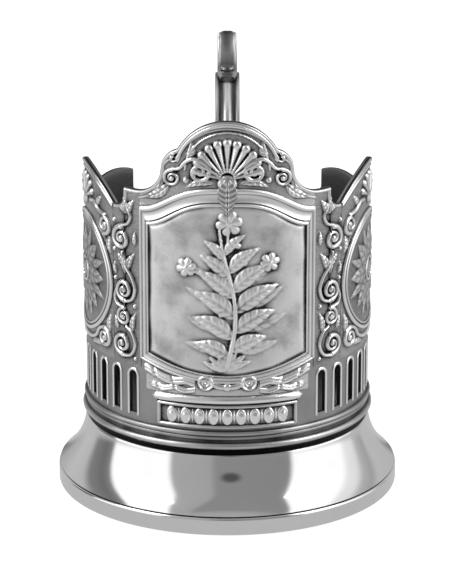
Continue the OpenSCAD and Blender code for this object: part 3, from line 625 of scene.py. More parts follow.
def foot():
    top_r, low_r = BODY_R + 0.5, FOOT_R - 0.3
    w, tall = low_r - top_r, BASE_Z - FOOT_RIM_H
    span = math.hypot(w, tall)
    r = span * 1.27
    lift = math.sqrt(r * r - span * span / 4)
    c = ((top_r + low_r) / 2 + lift * tall / span, (BASE_Z + FOOT_RIM_H) / 2 + lift * w / span)

    def flare(radius, top_z):
        z = np.linspace(FOOT_RIM_H, BASE_Z, 40)
        line = np.column_stack([c[0] - np.sqrt(radius ** 2 - (z - c[1]) ** 2), z])
        return line[z <= top_z]

    bell = np.concatenate([
        flare(r, BASE_Z - 0.25),
        [(top_r - 0.08, BASE_Z - 0.12), (top_r - 0.3, BASE_Z),
         (FLANGE_R, BASE_Z), (FLANGE_R, BASE_Z - FOOT_T)],
        flare(r + FOOT_T, BASE_Z - 0.95)[::-1]])
    dressed(turned("foot_flare", bell, np.full(len(bell), 0.6)), POLISHED, "foot_plate", "foot_bell")

    rim_in, rim_out, corner, groove = FOOT_R - FOOT_RIM_T, FOOT_R - 0.015, 0.6, FOOT_RIM_H - 0.34
    ring = np.concatenate([
        [(rim_in, 0.15), (rim_in + 0.15, 0)],
        arc((rim_out - corner, corner), corner, -90, 0, 7),
        [(rim_out, 1.5), (rim_out, 3.0)],
        arc((rim_out - corner, groove - corner), corner, 0, 90, 7),
        [(FOOT_R - 0.95, groove), (FOOT_R - 1.0, FOOT_RIM_H),
         (rim_in + 0.15, FOOT_RIM_H), (rim_in, FOOT_RIM_H - 0.15)]])
    # painted shade: the groove and the top of the ring are dark, as in the shadow under the flare
    wear = np.where(ring[:, 1] > groove - 0.05, 0.22, 0.6)
    dressed(turned("foot_ring", ring, wear), POLISHED, "foot_plate", "foot_rim_ring")


foot()

# Body, collar and slots


def body_sheet():
    """The rolled sheet with its rim, its slots and the flange under the glass."""
    slot_half = math.degrees(math.asin(SLOT_W / 2 / BODY_R))
    slots = np.array([hand * (SLOT_AZ + SLOT_PITCH * i) for hand in (-1, 1) for i in range(SLOT_COUNT)])
    over_arch = np.sin(np.linspace(-math.pi / 2, math.pi / 2, 9))
    slot_marks = [s + slot_half * k for s in slots for k in over_arch]
    clear = lambda a: np.all(np.abs(np.abs(a - slots) - slot_half) >= 0.02)
    rim_marks = [a for a in [*RIM_AZ, *-RIM_AZ[1:-1]] if clear(a)]
    az = np.unique(np.round(rim_marks + slot_marks + list(np.arange(-179.5, 180, 0.75)), 4))
    az = az[np.concatenate([[True], np.diff(az) > 0.012])]
    az = az[(az > -180) & (az <= 180)]
    columns = len(az)

    above = SLOT_LOW_Z + SLOT_H + 1.2
    nearest = np.min(np.abs(az[:, None] - slots[None, :]), axis=1)
    offset = BODY_R * np.sin(np.radians(np.minimum(nearest, slot_half)))
    arch = np.sqrt(np.clip((SLOT_W / 2) ** 2 - offset ** 2, 0, None))
    crown = SLOT_TOP_Z + arch * (nearest <= slot_half + 1e-4)
    rim = rim_z(az)
    levels = [np.full(columns, z) for z in np.linspace(BASE_Z, SLOT_LOW_Z, 5)]
    levels += [np.full(columns, z) for z in np.linspace(SLOT_LOW_Z, SLOT_TOP_Z, 4)[1:-1]]
    slot_rows = range(4, len(levels))
    levels += [crown + (above - crown) * s for s in np.linspace(0, 1, 4)]
    levels += [above + (rim - 0.35 - above) * s for s in np.linspace(0, 1, 20)[1:]]
    levels += [rim - 0.1, rim]
    z = np.array(levels)
    ease = np.zeros(len(z))
    ease[-2:] = 0.06, 0.3
    angle = np.radians(az)

    def surface(radius):
        radius = np.repeat(radius[:, None], columns, 1)
        return np.stack([radius * np.sin(angle), -radius * np.cos(angle), z], axis=-1).reshape(-1, 3)

    middle = (az[:-1] + az[1:]) / 2
    in_slot = [*np.any(np.abs(middle[:, None] - slots) < slot_half - 1e-6, axis=1), False]
    faces = grid_faces(len(z), columns, lambda i, j: not (i in slot_rows and in_slot[j]), wrap=True)
    points, faces, _ = walled(surface(BODY_R - ease), surface(WELL_R + ease), faces)
    low, top = BASE_Z, BASE_Z + SHEET_T
    ring = [(FLANGE_R, top), (FLANGE_OUT_R, top), (FLANGE_OUT_R, low), (FLANGE_R, low)]
    flange = turned("flange", ring, steps=256)
    return joined(mesh_piece("body_sheet", points, faces, None, 35), flange)


dressed(facing_out(body_sheet()), PATINA_SHADED_INSIDE, "body_patina", "body_shell")


def collar():
    """Three turned beads: height, half width, reach and wear of each."""
    # the lowest band is dark: dark patina in the joint with the foot, and painted shade under the beads
    outline, wear = [(BODY_R - 0.1, BASE_Z), (BODY_R + 0.12, BASE_Z), (BODY_R + 0.12, 19.3)], [0.0, 0.0, 0.0]
    for z, half, out, top in ((20.3, 0.85, 1.1, 0.66), (22.3, 0.5, 0.35, 0.5), (23.45, 0.65, 0.7, 0.58)):
        for a in np.radians(np.linspace(-84, 84, 11)):
            outline.append((BODY_R + 0.2 + out * math.cos(a) ** 0.8, z + half * math.sin(a)))
            wear.append(0.15 + (top - 0.15) * math.cos(a))
    outline += [(BODY_R + 0.3, 24.2), (BODY_R - 0.1, 24.2)]
    wear += [0.3, 0.3]
    dressed(turned("collar", outline, wear, sharp=60), RELIEF, "body_patina", "base_collar")


collar()


def slot_rims():
    """A raised edge round each slot."""
    half, sides = SLOT_W / 2 + 0.32, np.linspace(SLOT_LOW_Z, SLOT_TOP_Z, 8)
    line = [(-half, SLOT_LOW_Z - 0.5), *[(-half, z) for z in sides]]
    line += [(half * math.cos(a), SLOT_TOP_Z + half * math.sin(a)) for a in np.linspace(math.pi, 0, 13)[1:-1]]
    line += [*[(half, z) for z in sides[::-1]], (half, SLOT_LOW_Z - 0.5)]
    line = np.array(line)
    ahead = np.gradient(line, axis=0)
    ahead /= np.hypot(*ahead.T)[:, None]
    proud = np.full(len(line), 0.06)
    path = on_body(line[:, 0], proud, line[:, 1])
    out = on_body(line[:, 0], proud + 1, line[:, 1]) - path
    across = on_body(line[:, 0] - ahead[:, 1] * 0.01, proud, line[:, 1] + ahead[:, 0] * 0.01) - path
    across /= np.linalg.norm(across, axis=1)[:, None]
    a = round_places(8, 22.5)
    section = np.column_stack([0.36 * np.cos(a), 0.28 * np.sin(a)])
    pieces = []
    for hand in (1, -1):
        one = swept(f"slot_rims_{hand}", path, across, out, section, 0.68 + 0.42 * np.sin(a))
        turn, turn_step = (0, 0, hand * SLOT_AZ), (0, 0, hand * SLOT_PITCH)
        pieces.append(repeated(one, TRIM, SLOT_COUNT, turn=turn, turn_step=turn_step))
    piece = joined(*pieces)
    piece.name = "slot_rims"
    dressed(piece, TRIM, "body_patina")


slot_rims()


def rim_bead(name, az0, az1, r=0.55):
    """A rounded wire along a stretch of the rim."""
    dense = np.unique(np.concatenate([np.linspace(az0, az1, 400), RIM_AZ[(RIM_AZ > az0) & (RIM_AZ < az1)]]))
    flat = np.column_stack([np.radians(dense) * BODY_R, rim_z(dense)])
    steps = np.concatenate([[0], np.cumsum(np.hypot(*np.diff(flat, axis=0).T))])
    even = np.linspace(0, steps[-1], int(steps[-1] / 0.35) + 2)
    flat = np.column_stack([np.interp(even, steps, flat[:, k]) for k in range(2)])
    ahead = np.gradient(flat, axis=0)
    ahead /= np.hypot(*ahead.T)[:, None] + 1e-9
    normal = np.column_stack([-ahead[:, 1], ahead[:, 0]])
    flat = flat - normal * r
    for _ in range(2):
        flat[1:-1] = (flat[:-2] + 2 * flat[1:-1] + flat[2:]) / 4
    angle = flat[:, 0] / BODY_R
    none = np.zeros(len(angle))
    radial = np.column_stack([np.sin(angle), -np.cos(angle), none])
    tangent = np.column_stack([np.cos(angle), np.sin(angle), none])
    path = radial * (BODY_R - 0.02)
    path[:, 2] = flat[:, 1]
    across = tangent * normal[:, :1] + np.array([0, 0, 1.0]) * normal[:, 1:]
    a = round_places(12)
    section = np.column_stack([r * np.cos(a), 0.72 * np.sin(a)])
    # darkest behind and on the upper side, lightest on the outward face
    wear = 0.06 + 0.64 * np.clip(np.sin(a) - 0.45 * np.cos(a), 0, 1)
    return swept(name, path, across, radial, section, wear)


dressed(rim_bead("crest_rim_bead", -49.9, 49.9), TRIM, "raised_relief", "crest_rim_wire")
dressed_pair(rim_bead("side_rim_bead_right", 50.3, 103.5), TRIM, "raised_relief", "side_rim_wire_right")
dressed_pair(rim_bead("rear_rim_bead_right", 103.9, 172.4), TRIM, "raised_relief", "rear_rim_wire_right")

# Front panel


def panel_low(x, half):
    return PANEL_LOW_Z - PANEL_SAG * (1 - (x / half) ** 2)


def panel_top(x, half):
    return PANEL_TOP_Z + PANEL_ARCH * (1 + np.cos(math.pi * np.abs(x / half) ** 1.7)) / 2


def panel_loop(inset, count=120, rows=90):
    """The panel's outline drawn in by a share of the frame's widths."""
    half = PANEL_HALF - FRAME_SIDE_W * inset
    x = np.linspace(-half, half, count)
    low = np.column_stack([x, panel_low(x, half) + FRAME_LOW_W * inset])
    top = np.column_stack([x, panel_top(x, half) - FRAME_TOP_W * inset])
    right = np.linspace(low[-1], top[-1], rows)[1:-1]
    left = np.linspace(top[0], low[0], rows)[1:-1]
    return np.concatenate([low, right, top[::-1], left])


def panel_frame():
    """A moulded frame: an outer bead, a broad hollow and an inner bead."""
    # share of the frame's width, reach and wear
    profile = [(0.0, -0.05, 0.0), (0.0, 0.55, 0.3), (0.04, 0.85, 0.6), (0.1, 1.02, 0.85),
               (0.17, 1.08, 1.0), (0.24, 0.98, 0.75), (0.29, 0.72, 0.25), (0.36, 0.6, 0.5),
               (0.46, 0.56, 0.68), (0.56, 0.6, 0.75), (0.66, 0.72, 0.7), (0.72, 0.86, 0.7),
               (0.76, 0.7, 0.12), (0.8, 0.68, 0.15), (0.85, 0.95, 0.8), (0.9, 1.02, 1.0),
               (0.95, 0.9, 0.8), (0.985, 0.65, 0.3), (1.0, 0.4, 0.05), (1.0, -0.05, 0.0)]
    rings = [on_body(x, out, z) for x, z, out in ((*panel_loop(share).T, out) for share, out, _ in profile)]
    piece = ringed("moulded_frame", rings, [wear for _, _, wear in profile], True)
    dressed(piece, FRAME, "raised_relief", "panel_frame")


panel_frame()


def panel_relief(x, z):
    """A branch with paired leaves and three blossoms on a softly swelling ground."""
    half, low = PANEL_HALF - FRAME_SIDE_W, PANEL_LOW_Z - PANEL_SAG + FRAME_LOW_W
    tall = PANEL_TOP_Z - low
    h = np.full(x.shape, 0.42)
    h += 0.12 * np.exp(-((x / 9) ** 2 + ((z - 56) / 14) ** 2))
    h += 0.07 * np.sin(x * 0.62 + 2.4 * np.sin(z * 0.17)) + 0.05 * np.sin(z * 0.5 + 1.7 * np.sin(x * 0.3))
    edge = np.minimum(panel_top(x, half) - FRAME_TOP_W - z, z - panel_low(x, half) - FRAME_LOW_W)
    edge = np.minimum(half - np.abs(x), edge)
    h -= 0.24 * np.exp(-(np.maximum(edge, 0) / 0.55) ** 2)

    def stem(t):
        return 1.9 * math.sin(t * 4.4), low + 2.6 + t * tall * 0.83

    for t, spread, climb in ((0.13, 11.2, 1.2), (0.28, 12.4, 3.0), (0.43, 11.6, 4.8),
                             (0.57, 9.6, 5.8), (0.7, 7.2, 6.0)):
        for hand in (-1, 1):
            root = stem(t)
            tip = (root[0] + hand * spread, root[1] + climb)
            leaf(h, x, z, root, tip, spread * 0.3, 0.34, 0.42, -0.05 * hand, 6)
    ridge(h, x, z, [stem(t) for t in np.linspace(0, 1, 30)], 0.62, 0.3, 0.55, 0.5)
    for t, spread, climb, bud in ((0.06, 8.6, 3.4, False), (0.2, 9.8, 5.2, True), (0.35, 10.2, 6.4, True),
                                  (0.5, 9.0, 6.6, True), (0.64, 7.4, 6.0, True), (0.77, 5.2, 5.2, False)):
        for hand in (-1, 1):
            root = stem(t + 0.045 * (hand > 0))
            tip = (root[0] + hand * spread, root[1] + climb)
            leaf(h, x, z, root, tip, spread * 0.46, 0.74, 0.5, 0.09 * hand, 6)
            if bud:
                boss(h, x, z, (root[0] + hand * spread * 0.3, root[1] + climb * 0.85 + 1.6), 0.7, 0.5, 0.5)
    for across, up, r in ((0.4, 3 + tall * 0.86, 3.1), (-9.6, tall * 0.66, 2.3), (9.9, tall * 0.69, 2.3)):
        at = (across, low + up)
        root = (0.24 * across, at[1] - 4.5)
        ridge(h, x, z, [root, ((root[0] + at[0]) / 2, at[1] - 1.6), at], 0.3, 0.3, 0.4, 0.5)
        blossom(h, x, z, at, r, 6, 0.7, 0.5, 12)
    for k in range(7):
        tip = heading(22 * k - 66) * (6.4, 5.2) + (0, low + 1.4)
        leaf(h, x, z, (0, low + 1.2), tip, 1.7, 0.55, 0.45, 0.05, 3)
    return stipple(softened(np.minimum(h, 1.32), 1), 0.03)


def panel_field():
    tuck = 0.12
    half = PANEL_HALF - FRAME_SIDE_W + tuck
    low = lambda x: panel_low(x, half) + FRAME_LOW_W - tuck
    high = lambda x: panel_top(x, half) - FRAME_TOP_W + tuck
    piece = relief_piece("panel_relief", 0, np.linspace(-half, half, 200), low, high, 216, panel_relief, 2.8)
    dressed(piece, FIELD, "panel_field", "panel_plate", "panel_spray")


panel_field()

# Crest


def crest_relief(x, z):
    """A shell of ribs between scrolls and leaves, under a moulding that follows the dome."""
    h = ground(x)
    edge = np.linspace(-24, 24, 240)
    ridge(h, x, z, np.column_stack([edge, under_rim(0, 1.9)(edge)]), 0.34, 0.34, 0.4, 0.1)
    ridge(h, x, z, arc((0, DOME_Z), 12.1, 164, 16, 90), 0.5, 0.5, 0.6, 0.12)
    centre = np.array([0.0, 86.6])
    for degrees in np.linspace(-75, 75, 11):
        e = heading(degrees)
        rib = e * 10.2 * (0.84 + 0.16 * e[1])
        ridge(h, x, z, [centre + rib * t for t in np.linspace(0.2, 0.86, 6)], 0.34, 0.98, 0.72, 0.18, 0.6)
        boss(h, x, z, centre + rib * 0.86, 1.12, 0.85, 0.18)
        ridge(h, x, z, [centre + rib * t for t in np.linspace(0.3, 0.84, 4)], 0.1, 0.22, 0.28, 0.78, 0.6)
    outline = [centre + 11.4 * e * (0.86 + 0.14 * e[1]) for e in map(heading, np.linspace(-78, 78, 60))]
    ridge(h, x, z, outline, 0.3, 0.3, 0.5, 0.15)
    boss(h, x, z, (0, 85.6), 2.3, 0.75, 0.35)
    boss(h, x, z, (0, 85.6), 1.2, 0.45, 0.75)
    for hand in (-1, 1):
        volute(h, x, z, (hand * 6.5, 88.4), 2.95, hand, 90, top=0.85)
        volute(h, x, z, (hand * 12.9, 86.5), 2.25, -hand, 90)
        volute(h, x, z, (hand * 12.7, 91.3), 1.3, hand, 90, 0.3, 0.7, 1.2)
        link = [(6.5, 91.2), (8.4, 91.4), (10.0, 90.4), (11.2, 89.0), (12.9, 88.7)]
        ridge(h, x, z, curve([(hand * a, b) for a, b in link]), 0.6, 0.45, 0.75, 0.12)
        # root, tip, width, height, bend and veins
        for x0, z0, x1, z1, width, top, bend, veins in (
                (13.6, 84.9, 19.9, 80.9, 2.5, 0.7, -0.1, 6), (14.6, 86.6, 19.4, 83.0, 1.8, 0.6, -0.14, 5),
                (9.4, 91.3, 8.4, 96.0, 2.0, 0.6, 0.12, 5), (3.0, 85.8, 9.8, 84.3, 2.0, 0.65, 0.12, 5)):
            leaf(h, x, z, (hand * x0, z0), (hand * x1, z1), width, top, 0.12, bend * hand, veins)
        boss(h, x, z, (hand * 9.7, 86.2), 0.75, 0.6, 0.12)
        boss(h, x, z, (hand * 15.4, 84.0), 0.55, 0.5, 0.12)
    # a sunk line outside the moulding
    gap = np.abs(np.hypot(x, z - DOME_Z) - 12.85)
    h = np.where((gap < 0.26) & (z > 91.0), 0.0, h)
    return np.minimum(h, 1.3)


def crest():
    half = chord(36.3)

    def low(x):
        over_frame = panel_top(np.clip(x, -PANEL_HALF, PANEL_HALF), PANEL_HALF) - 0.3
        return np.where(np.abs(x) < PANEL_HALF, over_frame, 78.4)

    across = np.linspace(-half, half, 250)
    piece = relief_piece("crest_relief", 0, across, low, under_rim(0), 112, crest_relief, 2.1, 0.63)
    dressed(piece, RELIEF, "raised_relief", "crest_palmette", "crest_scroll_right", "crest_scroll_left")


crest()


def keystone():
    """The leaf drop that hangs from the shell over the frame's upper band."""
    top, low, widest = 86.9, 77.9, 2.25
    rows, columns = 90, 41
    z = np.repeat(np.linspace(low, top, rows)[:, None], columns, 1)
    t = (z - low) / (top - low)
    half = widest * np.sin(math.pi * np.clip(0.04 + 0.94 * t, 0, 1) ** 1.5) ** 0.8 + 0.1
    q = np.linspace(-1, 1, columns)[None, :] * np.ones((rows, 1))
    x = q * half
    h = 0.95 + 0.42 * np.sqrt(np.clip(1 - q ** 2, 0, 1)) - 0.2 * np.exp(-(x / 0.16) ** 2)
    h += 0.09 * np.cos(2 * math.pi * (7 * t - 0.9 * np.abs(q)))
    piece = plate("keystone_drop", x, z, h, patina_wear_and_shade(h, 2.5, 0.6), back=0.2, back_wear=0.1)
    dressed(piece, RELIEF, "raised_relief")


keystone()

# Scroll columns, sides and rear


def column_relief(x, z):
    """Four scrolls one over the other, joined by stems, with leaves and berries between."""
    h = ground(x)
    for at, r, hand in (((0.9, 42.9), 3.0, 1), ((0.2, 49.9), 2.45, -1),
                        ((0.1, 56.6), 2.9, 1), ((1.0, 69.4), 3.2, -1)):
        volute(h, x, z, at, r, hand, -90 * hand, top=0.8)
    for w0, w1, top, through in (
            (0.5, 0.4, 0.65, [(0.9, 39.9), (-2.0, 40.7), (-3.3, 43.4), (-2.4, 46.2), (-0.6, 47.5)]),
            (0.45, 0.4, 0.65, [(0.2, 52.3), (2.4, 52.6), (3.4, 54.4), (2.8, 56.4)]),
            (0.5, 0.4, 0.7, [(0.1, 53.7), (-2.4, 54.7), (-3.4, 57.4), (-2.5, 60.1), (-0.8, 62.2),
                             (0.3, 64.0), (0.6, 66.0)]),
            (0.5, 0.35, 0.7, [(1.0, 72.6), (-1.2, 73.4), (-2.2, 75.4), (-1.2, 77.4)])):
        ridge(h, x, z, curve(through), w0, w1, top, 0.12)
    for root, tip, width, bend in (
            ((-0.6, 61.4), (2.9, 65.4), 2.0, 0.1), ((-0.9, 61.6), (-3.4, 66.4), 1.9, -0.1),
            ((0.0, 60.6), (0.2, 66.8), 1.9, 0.0), ((-1.0, 75.8), (3.1, 78.0), 1.8, 0.1),
            ((-1.2, 75.6), (-3.3, 79.6), 1.9, -0.1), ((-1.0, 76.4), (0.6, 81.0), 1.9, 0.0),
            ((-2.4, 46.4), (-3.6, 51.6), 1.7, -0.1), ((2.7, 46.2), (3.6, 49.6), 1.4, 0.08),
            ((3.1, 60.0), (3.7, 63.2), 1.2, 0.0), ((-3.2, 68.2), (-3.5, 72.0), 1.3, 0.0)):
        leaf(h, x, z, root, tip, width, 0.7, bend=bend)
    for at in ((-3.2, 53.0), (3.3, 59.0), (-3.3, 39.8), (3.6, 73.4), (3.6, 66.2)):
        boss(h, x, z, at, 0.55, 0.55, 0.12)
    return np.minimum(h, 1.15)


def side_relief(x, z):
    """Corner scrolls round the medallion and a small shell under the arch."""
    h = ground(x)
    for hand in (-1, 1):
        volute(h, x, z, (hand * 11.4, 42.6), 2.7, -hand, 90)
        volute(h, x, z, (hand * 11.9, 71.2), 2.5, hand, -90)
        for w1, through in ((0.45, [(11.4, 45.2), (9.0, 44.2), (7.0, 41.9), (3.6, 40.6), (0, 40.4)]),
                            (0.4, [(11.9, 73.6), (9.2, 74.2), (6.6, 75.6), (4.2, 75.4)])):
            ridge(h, x, z, curve([(hand * a, b) for a, b in through]), 0.5, w1, 0.65, 0.12)
        for x0, z0, x1, z1, width, top, bend, veins in (
                (9.8, 40.4, 4.0, 39.2, 1.6, 0.55, 0.1, 5), (13.4, 44.4, 14.0, 49.4, 1.9, 0.6, 0.1 * hand, 5),
                (13.6, 68.9, 14.3, 64.2, 1.8, 0.6, -0.1 * hand, 5), (7.6, 75.2, 10.4, 78.0, 1.8, 0.6, 0, 4)):
            leaf(h, x, z, (hand * x0, z0), (hand * x1, z1), width, top, 0.12, bend, veins)
    for degrees in range(-66, 67, 22):
        line = [np.array([0, 75.4]) + heading(degrees) * t for t in np.linspace(1.2, 5.6, 5)]
        ridge(h, x, z, line, 0.25, 0.75, 0.65, 0.15, 0.6)
        boss(h, x, z, line[-1], 0.85, 0.75, 0.15)
    boss(h, x, z, (0, 75.2), 1.5, 0.75, 0.15)
    edge = np.linspace(-14.8, 14.8, 120)
    ridge(h, x, z, np.column_stack([edge, under_rim(SIDE_AZ, 1.9)(edge)]), 0.32, 0.32, 0.4, 0.1)
    h[np.hypot(x, z - MEDALLION_Z) < MEDALLION_R - 0.4] = 0.14
    return np.minimum(h, 1.15)


def rear_relief(x, z):
    """Running leaf scroll between two borders, on the plain quarter beside the handle."""
    h = ground(x, 0.12)
    for border in (39.6, 61.6):
        ridge(h, x, z, [(x.min(), border), (x.max(), border)], 0.32, 0.32, 0.4, 0.1)
    left, step = x.min() + 5.6, (x.max() - x.min() - 11.2) / 3
    for i, hand in enumerate((-1, 1, -1, 1)):
        at = np.array([left + step * i, 50.6 - 1.6 * hand])
        volute(h, x, z, at, 4.2, hand, 90 * hand, 0.2, 0.8, 1.5)
        blossom(h, x, z, at, 1.7, 5, 0.75, 0.15, 18)
        if i < 3:
            stem = [at + (0, 4.0 * hand), (at[0] + 0.5 * step, 50.6 + 4.6 * hand), at + (step, 7.6 * hand)]
            ridge(h, x, z, curve(stem), 0.55, 0.45, 0.7, 0.12)
        for a, b, width in ((-4.6, 6.6, 2.6), (0.4, 8.4, 2.6), (5.0, 6.4, 2.4)):
            leaf(h, x, z, at + (0.35 * a, 0.62 * b * hand), at + (a, b * hand), width, 0.65, bend=0.08)
        leaf(h, x, z, at - (3.6, 3.4 * hand), at + (3.0, -6.4 * hand), 2.4, 0.6, bend=-0.1 * hand, veins=6)
    return np.minimum(h, 1.1)


def band(name, az, az0, az1, count, rows, height, level=0.5, top_z=None):
    """A plate of relief from azimuth az0 to az1, from above the slots to top_z or to the rim."""
    across = np.linspace(chord(az0 - az), chord(az1 - az), count)
    high = level_edge(top_z) if top_z else under_rim(az)
    return relief_piece(name, az, across, level_edge(BAND_LOW_Z), high, rows, height, 2.2, level)


piece = band("scroll_column_right_relief", COLUMN_AZ, 36.4, 51.3, 58, 270, column_relief)
dressed_pair(piece, RELIEF, "raised_relief", "scroll_column_right")
piece = band("side_relief_right", SIDE_AZ, 51.5, 103.2, 150, 230, side_relief, level=0.54)
dressed_pair(piece, RELIEF, "raised_relief")
piece = band("rear_relief_right", REAR_AZ, 103.5, 172.4, 190, 130, rear_relief, top_z=REAR_BAND_TOP_Z)
dressed_pair(piece, RELIEF, "raised_relief")


def medallions():
    """A moulded ring and a rosette of sixteen leaves inside it."""
    count = 240
    angle = round_places(count)
    # share of the medallion's radius, reach and wear
    profile = [(1.0, -0.05, 0), (1.0, 0.45, 0.4), (0.993, 0.72, 0.8), (0.975, 0.88, 1.0),
               (0.952, 0.86, 0.8), (0.935, 0.62, 0.15), (0.92, 0.5, 0.1), (0.905, 0.72, 0.75),
               (0.888, 0.76, 0.85), (0.878, 0.55, 0.2), (0.878, -0.05, 0)]
    rings = []
    for share, out, _ in profile:
        r = MEDALLION_R * share
        rings.append(on_body(r * np.sin(angle), out, MEDALLION_Z + r * np.cos(angle), SIDE_AZ))
    ring = ringed("medallion_ring_right", rings, [wear for _, _, wear in profile], True)
    dressed_pair(ring, TRIM, "raised_relief", "medallion_frame_right")

    rows = 56
    radii = np.linspace(0.004, 1, rows)[:, None] * (MEDALLION_R * 0.885)
    centre = np.array([0, MEDALLION_Z])
    x, z = radii * np.sin(angle), MEDALLION_Z + radii * np.cos(angle)
    h = ground(x, 0.4, 0.08)
    for i in range(8):
        e = heading(45 * i)
        leaf(h, x, z, centre + e * 1.6, centre + e * 11.4, 4.7, 0.5, 0.42)
        e = heading(45 * i + 22.5)
        leaf(h, x, z, centre + e * 5.0, centre + e * 12.2, 2.4, 0.36, 0.42, veins=3)
    ring_line = np.column_stack([2.9 * np.sin(angle), MEDALLION_Z + 2.9 * np.cos(angle)])
    ridge(h, x, z, ring_line, 0.4, 0.4, 0.5, 0.5)
    boss(h, x, z, centre, 2.1, 0.5, 0.5)
    faces = np.array(grid_faces(rows, count, wrap=True))[:, [0, 3, 2, 1]]
    field = plate("medallion_rosette_right", x, z, h, patina_wear_and_shade(h, 2.2), SIDE_AZ, -0.05, 0.2, faces)
    dressed_pair(field, RELIEF, "dark_relief", "medallion_plate_right")


medallions()

# Name plate, roll, bow and ribbon


def name_plate():
    """A bordered plate with a row of beads, and lozenges between them."""
    half, middle = chord(NAME_AZ), NAME_Z + NAME_H / 2

    def height(x, z):
        h = ground(x, 0.42, 0.08)
        w, tall = half - 0.45, NAME_H / 2 - 0.45
        corners = ((-1, -1), (1, -1), (1, 1), (-1, 1), (-1, -1))
        border = [(a * w, middle + b * tall) for a, b in corners]
        ridge(h, x, z, border, 0.42, 0.42, 0.42, 0.5)
        return h

    base = relief_piece("name_plate_relief", 0, np.linspace(-half, half, 210), level_edge(NAME_Z),
                        level_edge(NAME_Z + NAME_H), 44, height, 1.9, 0.29)
    pitch = 2 * (half - 1.9) / 9

    def dome_row(name, count, wide, tall, profile, wear):
        """A row of domes: outline, share of it and reach of each ring, and wear for a reach."""
        rings = []
        for share, out in profile:
            rings.append(np.column_stack([share * wide, np.full(len(wide), -out), share * tall]))
        dome = ringed(name, rings, [wear(out) for _, out in profile], False, 50)
        first = ((1 - count) / 2 * pitch, 0, middle)
        return wrapped(repeated(dome, TRIM, count, place=first, place_step=(pitch, 0, 0)))

    def pointed(v):
        return np.sign(v) * np.abs(v) ** 1.6

    a = round_places(20)
    profile = ((1.0, 0.35), (1.0, 0.55), (0.92, 0.72), (0.72, 0.86), (0.62, 0.8), (0.5, 0.86), (0.25, 0.99),
               (0.03, 1.02))
    beads = dome_row("beads", 9, 1.35 * np.cos(a), 2.05 * np.sin(a), profile,
                     lambda out: 0.2 + (out - 0.35) / 0.65)
    a = round_places(8)
    profile = ((1.0, 0.35), (1.0, 0.55), (0.6, 0.78), (0.05, 0.92))
    lozenges = dome_row("lozenges", 8, 0.42 * pointed(np.cos(a)), 1.9 * pointed(np.sin(a)), profile,
                        lambda out: 0.3 + 0.6 * out)
    dressed(joined(base, beads, lozenges), TRIM, "dark_relief", "name_plate")


name_plate()


def roll():
    half, count = chord(NAME_AZ) + ROLL_H / 2, 90
    x = np.linspace(-half, half, count)
    z = np.full(count, NAME_Z + NAME_H + ROLL_H / 2)
    path = on_body(x, 0, z)
    out = on_body(x, 1, z) - path
    up = np.tile([0, 0, 1.0], (count, 1))
    taper = np.clip(np.minimum(x + half, half - x) / 0.8, 0.25, 1)[:, None] ** 0.5
    a = round_places(16)
    section = np.column_stack([ROLL_H / 2 * np.cos(a), np.where(np.sin(a) > 0, 1.08, 0.5) * np.sin(a)])
    wear = 0.05 + 0.95 * np.clip(np.sin(a), 0, 1) ** 0.6
    piece = swept("roll_moulding", path, up * taper, out * taper, section, wear)
    dressed(piece, TRIM, "raised_relief", "name_plate_roll")


roll()


def bow():
    """Two ringed rosettes joined by a bar with a knot."""
    r, x0, z0 = 2.06, 5.1, 36.3

    def height(x, z):
        h = ground(x, 0.14, 0.06)
        for at in ((-x0, z0), (x0, z0)):
            boss(h, x, z, at, r, 0.35, 0.3)
            ridge(h, x, z, arc(at, 0.8 * r, 0, 360, 40), 0.34, 0.34, 0.55, 0.5)
            ridge(h, x, z, arc(at, 0.36 * r, 0, 360, 30), 0.2, 0.2, 0.5, 0.4)
            boss(h, x, z, at, 0.3, 0.6, 0.4)
        bar = [(-x0 + r * 0.8, z0 - 0.2), (-1.6, z0 - 0.9), (1.6, z0 - 0.9), (x0 - r * 0.8, z0 - 0.2)]
        ridge(h, x, z, curve(bar), 0.8, 0.8, 0.6, 0.3)
        boss(h, x, z, (0, z0 - 0.95), 1.05, 0.65, 0.45)
        return h

    def high(x):
        rosette = z0 + np.sqrt(np.clip(r * r - (np.abs(x) - x0) ** 2, 0, None)) + 0.05
        return np.maximum(panel_low(x, PANEL_HALF) + 0.3, rosette)

    across = np.linspace(-7.6, 7.6, 110)
    piece = relief_piece("bow_relief", 0, across, level_edge(BOW_LOW_Z), high, 48, height, 2.4, 0.66)
    dressed(piece, TRIM, "raised_relief", "ribbon_bow")


bow()


def ribbon():
    """Two creased and twisted bands that run from the bow out under the frame."""
    def height(x, z):
        h = ground(x, 0.12, 0.05)
        for half, top, through in (
                (0.75, 0.55, [(7.3, 34.4), (9.8, 34.0), (12.4, 34.6), (15.0, 34.1), (17.6, 34.5)]),
                (1.15, 0.8, [(7.2, 36.1), (9.8, 36.6), (12.6, 36.3), (15.6, 37.0), (19.2, 38.6)])):
            ridge(h, x, z, curve(through), half, half, top, 0.15)
            crease, _ = near_line(x, z, curve(through))
            h -= 0.22 * np.exp(-(crease / 0.16) ** 2)
        for at in (12.2, 16.2):
            twist, _ = near_line(x, z, [(at, 33.0), (at + 1.2, 39.0)])
            h = np.where(h > 0.25, h - 0.22 * np.exp(-(twist / 0.3) ** 2), h)
        return np.clip(h, 0.02, 1.05)

    across = np.linspace(7.62, 19.4, 84)
    high = lambda x: panel_low(x, PANEL_HALF) + 0.3
    piece = relief_piece("ribbon_right", 0, across, level_edge(BOW_LOW_Z), high, 48, height, 2.4, 0.7)
    dressed_pair(piece, TRIM, "raised_relief", "ribbon_wing_right")


ribbon()

# Handle


def ellipse_place(c, w, h, a):
    """Places and outward directions round an ellipse."""
    a = np.radians(a)
    at = np.column_stack([c[0] + w * np.cos(a), c[1] + h * np.sin(a)])
    normal = np.column_stack([h * np.cos(a), w * np.sin(a)])
    return at, normal / np.hypot(*normal.T)[:, None]


